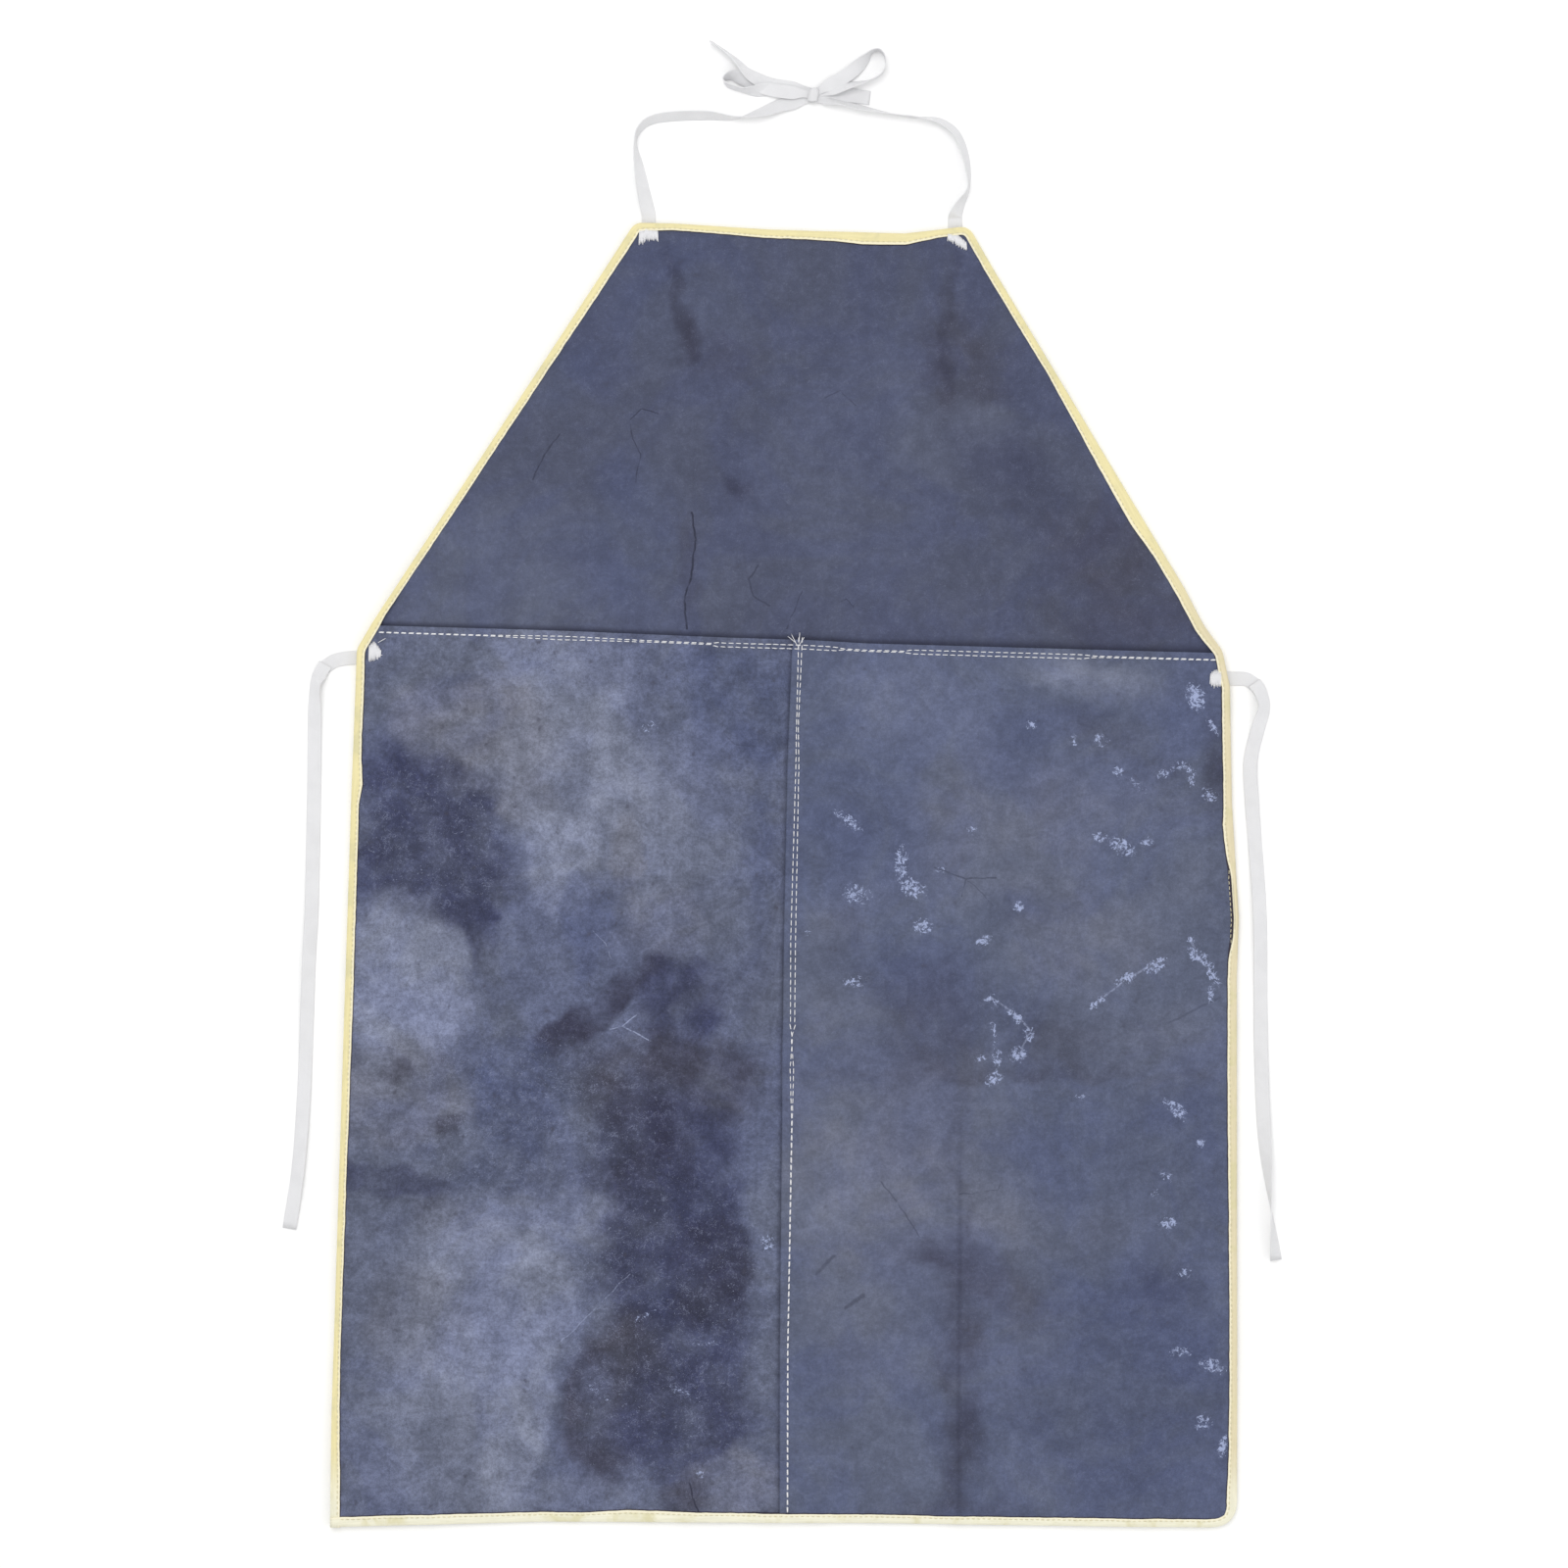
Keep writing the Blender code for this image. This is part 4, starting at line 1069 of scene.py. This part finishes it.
def dyed(made, name):
    """Stores the dye, the scuffs and the nearness to the edge with each point of a piece of leather."""
    lay = np.array([vertex.co for vertex in made.data.vertices])
    places = wandered(lay[:, :2])
    colours = np.tile(linear(*BASE_DYES[name]), (len(places), 1))
    size, swing = STAIN_BLOTCHES
    blotches = 1.0 + swing * np.array([noise.noise(Vector((x / size, y / size, 21.0))) for x, y in places])
    for *ellipse, dye, strength in STAINS[name]:
        near = strength * nearness(places, ellipse, STAIN_SOFTNESS[name])
        near = np.clip(near * blotches, 0, 1)
        colours += (np.array(linear(*DYES[dye])) - colours) * near[:, None]
    scuff = np.zeros(len(places))
    close = lay[:, :2] * (1 - SCUFF_WANDER) + places * SCUFF_WANDER
    for *ellipse, strength in SCUFFS[name]:
        scuff = np.maximum(scuff, strength * nearness(close, ellipse, SCUFF_SOFTNESS))
    fleck = np.full(len(places), FLECK_BASE)
    for ellipse in FLECKED:
        fleck = np.maximum(fleck, nearness(places, ellipse, FLECK_SOFTNESS))
    carrying(made, "lay", "FLOAT_VECTOR", lay)
    carrying(made, "dye", "FLOAT_COLOR", np.column_stack((colours, np.ones(len(places)))))
    carrying(made, "scuff", "FLOAT", scuff)
    carrying(made, "fleck", "FLOAT", fleck)
    carrying(made, "margin", "FLOAT", past_strip(lay))
    # The painted shade along the steps of the seams and down the old fold
    carrying(made, "shade", "FLOAT", [painted_seam_shade(x, y, name) for x, y in lay[:, :2]])


# The two rows of each seam: the distance from the leather's edge to the row, at places along the seam
SEAM_ROWS = {
    "waist": (
        ((-0.2725, 0.0044), (-0.201, 0.0046), (-0.15, 0.0037), (-0.085, 0.0044), (-0.05, 0.0044),
         (-0.045, 0.0038), (0.033, 0.0037), (0.04, 0.0046), (0.08, 0.0046), (0.086, 0.0037),
         (0.2, 0.0037), (0.21, 0.0044), (0.2905, 0.0046)),
        ((-0.2725, 0.0048), (-0.201, 0.005), (-0.15, 0.0061), (-0.085, 0.0052), (-0.05, 0.0052),
         (-0.045, 0.0064), (0.033, 0.0062), (0.04, 0.0054), (0.08, 0.0054), (0.086, 0.0063),
         (0.2, 0.0064), (0.21, 0.0052), (0.2905, 0.005)),
    ),
    "centre": (
        ((-0.4285, 0.0047), (-0.32, 0.0047), (-0.165, 0.006), (-0.13, 0.0046), (-0.11, 0.006),
         (-0.102, 0.0046), (-0.044, 0.0042), (0.074, 0.0052), (0.1, 0.0046), (0.159, 0.0037)),
        ((-0.4285, 0.0051), (-0.32, 0.0051), (-0.165, 0.0064), (-0.13, 0.007), (-0.11, 0.0052),
         (-0.102, 0.0074), (-0.044, 0.0074), (0.074, 0.0072), (0.1, 0.0058), (0.159, 0.0061)),
    ),
}
PULL_DEPTH = 0.00028
PULL_WIDTH = 0.0016


def pull(distance, place_along):
    """How far the stitches of a seam's row draw the leather in beside them."""
    at_stitch = 0.65 - 0.35 * cos(2 * pi * place_along / STITCH_PITCH)
    return PULL_DEPTH * bump_at(distance, PULL_WIDTH) * at_stitch


def seam_pull(x, y):
    """The small dips of the two seams' stitches."""
    total = 0.0
    for waist_row, centre_row in zip(SEAM_ROWS["waist"], SEAM_ROWS["centre"]):
        total += pull(waist_edge(x) - along(waist_row, x) - y, x)
        if y < waist_edge(x) - 0.002:
            total += pull(x - centre_edge(y) - along(centre_row, y), y)
    return total


# Distances from the edges of a piece of leather to the rows of points beside them
EDGE_ROWS = (
    0.0, 0.0006, 0.0016, 0.0027, 0.0037, 0.0046, 0.0055, 0.0064, 0.0074, 0.0086, 0.0102, 0.0122, 0.0145,
)


def spread(low, high, count):
    """Places from low to high: closer together near both ends, and even between."""
    start = low + EDGE_ROWS[-1]
    end = high - EDGE_ROWS[-1]
    middle = [start + (end - start) * k / count for k in range(1, count)]
    return [low + step for step in EDGE_ROWS] + middle + [high - step for step in reversed(EDGE_ROWS)]


def leather_sheet(name, sides, ends, bound, underside, counts):
    """A piece of leather between two side edges and two end edges, as in the CAD, with a finer mesh.

    Where bound says so (left, right, low and high), the edge is inside the strip.
    """
    left, right = sides
    low, high = ends
    short = [INSET if edge else 0 for edge in bound]
    columns = len(spread(0, 1, counts[0]))
    rows = len(spread(0, 1, counts[1]))

    def row_end(side, x, row):
        for _ in range(SETTLING):
            x = side(spread(low(x), high(x), counts[1])[row])
        return x

    points = []
    for row in range(rows):
        start = row_end(left, -HALF_WIDTH, row) + short[0]
        end = row_end(right, HALF_WIDTH, row) - short[1]
        for x in spread(start, end, counts[0]):
            y = spread(low(x) + short[2], high(x) - short[3], counts[1])[row]
            points.append((x, y, underside(x, y)))
    made = made_mesh(name, points, grid_faces(columns, rows), leather_material(name))
    dyed(made, name)
    return made


def declare_leather(made):
    """Gives a piece of leather its thickness."""
    made_solid(made, LEATHER, 1)
    applied(made)


# How many points the middle of a piece of leather has, across and along
BIB_COUNTS = (220, 100)
SKIRT_COUNTS = (110, 224)


def bib():
    """The bib and, below the fold, the allowance that the skirt is sewn over."""

    def low(x):
        return waist_edge(x) - SEAM_ALLOWANCE

    def underside(x, y):
        return ground(x, y) - seam_pull(x, y)

    sides = (left_edge, right_edge)
    bound = (True, True, False, True)
    made = leather_sheet("bib", sides, (low, top_edge), bound, underside, BIB_COUNTS)
    declare_leather(made)
    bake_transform(made)
    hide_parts("bib_panel", "bib_seam_allowance")


# The two overlapping edges curl up: how much, how far in, and where the centre's edge stands up most
CENTRE_CURL, CENTRE_CURL_WIDTH = 0.0007, 0.0036
WAIST_CURL, WAIST_CURL_WIDTH = 0.0008, 0.0038
POPPED_Y, POPPED_LENGTH = -0.127, 0.014


def lifted_edge(x, y):
    """The curl of the two overlapping edges, more in some places than in others."""
    from_centre = x - centre_edge(y)
    from_waist = waist_edge(x) - y
    curl = 0.0
    if 0 <= from_centre < 0.01 and from_waist > 0.004:
        popped = 0.4 + 1.6 * bump_at(y - POPPED_Y, POPPED_LENGTH)
        curl = CENTRE_CURL * share(1 - from_centre / CENTRE_CURL_WIDTH) * popped
    if 0 <= from_waist < 0.01:
        wave = 0.55 + 0.45 * noise.noise(Vector((x / 0.035, 0.4, 0.9)))
        curl = max(curl, WAIST_CURL * share(1 - from_waist / WAIST_CURL_WIDTH) * wave)
    return curl


def skirt():
    """The two lower pieces. The left one runs on under the right one."""

    def hidden_edge(y):
        return centre_edge(y) + SEAM_ALLOWANCE

    def left_side(x, y):
        return left_underside(x, y) - seam_pull(x, y) + lifted_edge(x, y)

    def right_side(x, y):
        return right_underside(x, y) - seam_pull(x, y) + lifted_edge(x, y)

    ends = (hem_edge, waist_edge)
    for name, sides, bound, underside in (
        ("left", (left_edge, hidden_edge), (True, False, True, False), left_side),
        ("right", (centre_edge, right_edge), (False, True, True, False), right_side),
    ):
        made = leather_sheet(f"skirt_{name}", sides, ends, bound, underside, SKIRT_COUNTS)
        declare_leather(made)
        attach(made, "skirt")
        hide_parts(f"skirt_panel_{name}")


# Binding


def stationed(points, spacing):
    """Places along a polyline, one spacing apart, with its own points kept."""
    stations = []
    for a, b in zip(points, points[1:]):
        count = max(1, ceil((b - a).length / spacing))
        stations += [a + (b - a) * k / count for k in range(count)]
    return stations + [points[-1]]


def inward(stations, k):
    """The level way into the leather at a station."""
    ahead = stations[min(k + 2, len(stations) - 1)] - stations[max(k - 2, 0)]
    return Vector((ahead.y, -ahead.x)).normalized()


def slipped(edge):
    """How far the binding has slipped off at a station, from 0 to 1."""
    if edge.x < 0:
        return 0.0
    low, high = SLIP
    return share(min(edge.y - low, high - edge.y) / SLIP_SLOPE + 0.15)


def strip_width(edge, travelled):
    """The width of the front of the strip: uneven, with small nicks, and narrow where it has slipped."""
    wobble = 0.0
    for size, reach, layer in STRIP_WOBBLES:
        wobble += noise.noise(Vector((edge.x / size, edge.y / size, layer))) * reach
    full = along(STRIP_WIDTHS, travelled) + wobble
    return full + (SLIPPED_WIDTH - full) * slipped(edge)


def strip_line():
    """Places along the binding's outer side, the distance to each, and the width of the strip's front."""
    stations = stationed(OUTLINE, STATION)
    distances = [0.0]
    for a, b in zip(stations, stations[1:]):
        distances.append(distances[-1] + (b - a).length)
    return stations, distances, [strip_width(edge, at) for edge, at in zip(stations, distances)]


STRIP_LINE, STRIP_DISTANCES, FRONT_WIDTHS = strip_line()


# The strip's section: share of the way in from its outer side on the front and on the back, and small rises
FRONT_SECTION = ((1.0, 0.0), (0.97, 0.00012), (0.86, 0.00004), (0.79, -0.00006), (0.7, 0.00006),
                 (0.52, 0.00024), (0.34, 0.00022))
ROUND_STEPS = 7
ROUND_DEPTH = 0.0016  # of the strip's bend round the leather's edge
RUFFLE, RUFFLE_SIZE = 0.00018, 0.009
END_LIFT, END_LENGTH = 1.6, 0.012  # of the strip's last end, in thicknesses, where it lies on its first


def strip_section(width, front, back):
    """Depth and height of each point of the strip's section, from the front lip round to the back lip."""
    flat = [(width * way, front + rise) for way, rise in FRONT_SECTION]
    centre = (front + back) / 2
    reach = (front - back) / 2
    turn = []
    for step in range(1, ROUND_STEPS):
        angle = pi * step / ROUND_STEPS
        inset = ROUND_DEPTH - (ROUND_DEPTH - GAP) * sin(angle) ** 0.7
        turn.append((inset, centre + reach * cos(angle)))
    under = [(BINDING_WIDTH * way, back) for way, _ in reversed(FRONT_SECTION)]
    return flat + turn + under


def binding():
    """The strip folded round the whole edge. It starts and ends at the lower left, where its ends overlap."""
    count = len(STRIP_LINE)
    points = []
    run = []
    for k, edge in enumerate(STRIP_LINE):
        into = inward(STRIP_LINE, k)
        travelled = STRIP_DISTANCES[k]
        inner = edge + into * INSET * 2
        front = front_face(inner.x, inner.y) + GAP
        back = max(STRIP + GAP, ground(inner.x, inner.y) - GAP)
        ruffle = RUFFLE * noise.noise(Vector((travelled / RUFFLE_SIZE, 0.0, 4.0)))
        end_lift = STRIP * (END_LIFT * share(1 - (count - 1 - k) * STATION / END_LENGTH))
        for step, (inset, height) in enumerate(strip_section(FRONT_WIDTHS[k], front, back)):
            place = edge + into * inset
            lift = (ruffle + end_lift) if step < len(FRONT_SECTION) else 0.0
            points.append(Vector((*place, height + lift)))
            run.append((travelled, inset / FRONT_WIDTHS[k] if step < len(FRONT_SECTION) else 0.0, 0))
    rows = len(points) // count
    ordered = [points[k * rows + row] for row in range(rows) for k in range(count)]
    ordered_run = [run[k * rows + row] for row in range(rows) for k in range(count)]
    made = made_mesh("edge_binding", ordered, grid_faces(count, rows), binding_material())
    carrying(made, "run", "FLOAT_VECTOR", ordered_run)
    carrying(made, "lay", "FLOAT_VECTOR", [tuple(p) for p in ordered])
    made_solid(made, STRIP, 1)
    applied(made)
    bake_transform(made)
    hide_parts("binding_bib", "binding_skirt_left", "binding_skirt_right")


# Stitching

STITCH_SIDES = 6
STITCH_RINGS = 7
STITCH_ARCH = 1.3  # rise of a stitch's middle, in thread radii
STITCH_SINK = 1.6  # how far its ends go down, in thread radii
STITCH_SWING = (0.00022, 0.00018)  # how far its end and its start stray sideways
ROW_STEPS = 240


def stitch_mesh(start, end, radius, sag):
    """Points and faces of one stitch: a thread that comes up at its start and goes down at its end."""
    way = end - start
    side = Vector((-way.y, way.x, 0)).normalized()
    points = []
    faces = []
    for ring in range(STITCH_RINGS):
        t = ring / (STITCH_RINGS - 1)
        rise = sin(pi * t) ** 0.6
        middle = start + way * t + Vector((0, 0, rise * radius * STITCH_ARCH - sag * (1 - rise)))
        tilt = way.normalized() * (0.5 - t) * -2 * radius * 0.6
        size = radius * (0.75 + 0.25 * rise)
        for corner in range(STITCH_SIDES):
            angle = 2 * pi * corner / STITCH_SIDES
            up = Vector((0, 0, size * sin(angle)))
            points.append(middle + tilt * sin(angle) + side * size * cos(angle) + up)
    for ring in range(STITCH_RINGS - 1):
        for corner in range(STITCH_SIDES):
            after = (corner + 1) % STITCH_SIDES
            a = ring * STITCH_SIDES
            b = a + STITCH_SIDES
            faces.append((a + corner, a + after, b + after, b + corner))
    faces.append(tuple(reversed(range(STITCH_SIDES))))
    faces.append(tuple(range(len(points) - STITCH_SIDES, len(points))))
    return points, faces


def thread_mesh(name, stitches, surface):
    """All the stitches of one seam as one mesh. Each stitch is its start, end, radius and sag."""
    points = []
    faces = []
    run = []
    for start, end, radius, sag in stitches:
        some, around = stitch_mesh(start, end, radius, sag)
        first = len(points)
        points += some
        faces += [tuple(first + corner for corner in face) for face in around]
        for k in range(len(some)):
            ring, side = divmod(k, STITCH_SIDES)
            run.append((ring * (end - start).length / STITCH_RINGS, side * radius, 0))
    made = made_mesh(name, points, faces, surface)
    carrying(made, "run", "FLOAT_VECTOR", run)
    return made


def row_stitches(path, height, pitch, length, radius, seed):
    """Stitches along a path of places, each a little uneven in length and turn."""
    stitches = []
    travelled = 0.0
    next_start = 0.0
    for a, b in zip(path, path[1:]):
        step = (b - a).length
        while next_start < travelled + step:
            at = a + (b - a) * ((next_start - travelled) / step)
            way = (b - a).normalized()
            side = Vector((-way.y, way.x))
            uneven = noise.noise(Vector((at.x * 900, at.y * 900, seed)))
            far = at + way * (length * (1 + 0.12 * uneven)) + side * (STITCH_SWING[0] * uneven)
            near = at - side * (STITCH_SWING[1] * uneven)
            start, end = (Vector((*place, height(*place) + radius * 0.2)) for place in (near, far))
            stitches.append((start, end, radius * (1 + 0.08 * uneven), radius * STITCH_SINK))
            next_start += pitch * (1 + 0.03 * uneven)
        travelled += step
    return stitches


def evenly(ends):
    """Places from one end of a row to the other."""
    start, end = ends
    return [start + (end - start) * k / ROW_STEPS for k in range(ROW_STEPS + 1)]


def seam_paths():
    """The two rows of each of the two seams."""
    waist = [[Vector((x, waist_edge(x) - along(row, x))) for x in evenly(WAIST_ENDS)]
             for row in SEAM_ROWS["waist"]]
    centre = [[Vector((centre_edge(y) + along(row, y), y)) for y in evenly(CENTRE_ENDS)]
              for row in SEAM_ROWS["centre"]]
    return {"waist": waist, "centre": centre}


def face_height(x, y):
    """The face of the top layer at a seam, with the dips and the lifted edges."""
    return front_face(x, y) - seam_pull(x, y) + lifted_edge(x, y)


def under_height(x, y):
    """The underside at a seam, for the bobbin thread."""
    return ground(x, y) - seam_pull(x, y)


def on_face(place, rise):
    """A point above the face of the leather."""
    return Vector((*place, face_height(*place) + rise))


def turned_under(stitches):
    """The same stitches on the underside of the leather, upside down."""
    under = []
    for start, end, radius, sag in stitches:
        start, end = (Vector((*place.xy, under_height(*place.xy))) for place in (start, end))
        under.append((start, end, -radius, -sag))
    return under


def seams(surface):
    """The two rows of each seam, on the face and underneath, with a few loose ends beside the waist seam."""
    for seam, paths in seam_paths().items():
        face = []
        for number, path in enumerate(paths):
            face += row_stitches(path, face_height, STITCH_PITCH, STITCH_LENGTH, THREAD_RADIUS, 3.0 + number)
        if seam == "waist":
            for a, b in LOOSE_ENDS:
                face.append((on_face(a, THREAD_RADIUS), on_face(b, THREAD_RADIUS), THREAD_RADIUS * 0.7, 0))
        made = thread_mesh(f"{seam}_stitches", face, surface)
        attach(made, "skirt")
        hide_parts(f"{seam}_thread_first_face", f"{seam}_thread_second_face")
        back = thread_mesh(f"{seam}_stitches_back", turned_under(face), surface)
        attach(back, "skirt")
        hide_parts(f"{seam}_thread_first_bobbin", f"{seam}_thread_second_bobbin")


def binding_stitches(surface):
    """The row that holds the strip. Where the strip has slipped, its row is on the bare leather."""
    path = []
    for k, edge in enumerate(STRIP_LINE):
        row = FRONT_WIDTHS[k] * ROW_SHARE
        row += (BINDING_ROW - row) * slipped(edge)
        path.append(edge + inward(STRIP_LINE, k) * row)

    def height(x, y):
        on_strip = slipped(Vector((x, y))) < 0.5
        return face_height(x, y) + (GAP + STRIP - STRIP_DENT if on_strip else 0.0)

    stitches = row_stitches(path[3:-3], height, BINDING_PITCH, BINDING_STITCH, BINDING_THREAD_RADIUS, 9.0)
    made = thread_mesh("binding_stitches", stitches, surface)
    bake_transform(made)
    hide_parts("binding_thread_bib", "binding_thread_skirt_left", "binding_thread_skirt_right")


def bar_tacks(surface):
    """Dense zigzags of thread that hold the tape ends: two layers of each, ragged at the foot."""
    for name, (body, middle, outline) in TACKS.items():
        feet = [(x, foot) for x, foot, _ in outline]
        tops = [(x, top) for x, _, top in outline]
        strands = round((outline[-1][0] - outline[0][0]) / TACK_PITCH)
        stitches = []
        for layer in (0, 1):
            corners = []
            for k in range(strands + 1):
                x = outline[0][0] + (k + 0.5 * layer) * TACK_PITCH
                uneven = noise.noise(Vector((k * 0.83, middle[0] * 40, 1.5 + layer)))
                ends, ragged = (tops, TACK_RAGGED_TOP) if k % 2 else (feet, TACK_RAGGED_FOOT)
                corners.append(Vector((middle[0] + x, middle[1] + along(ends, x) + ragged * uneven)))
            rise = TACK_RADIUS * (0.5 + layer)
            for a, b in zip(corners, corners[1:]):
                stitches.append((on_face(a, rise), on_face(b, rise), TACK_RADIUS, TACK_RADIUS * 0.6))
        made = thread_mesh(f"{name}_zigzag", stitches, surface)
        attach(made, body)
        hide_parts(name)


def main():
    camera()
    tape_cotton = cotton_material("tape_cotton", TAPE_COLOUR, 900, 700)
    ties(tape_cotton)
    sewn_ends(tape_cotton)
    neck_tapes(tape_cotton)
    studio()
    bib()
    skirt()
    binding()
    thread_cotton = cotton_material("thread_cotton", THREAD_COLOUR, 1600, 1200)
    pale_cotton = cotton_material("pale_thread_cotton", PALE_THREAD_COLOUR, 1600, 1200)
    seams(thread_cotton)
    binding_stitches(pale_cotton)
    bar_tacks(thread_cotton)


main()
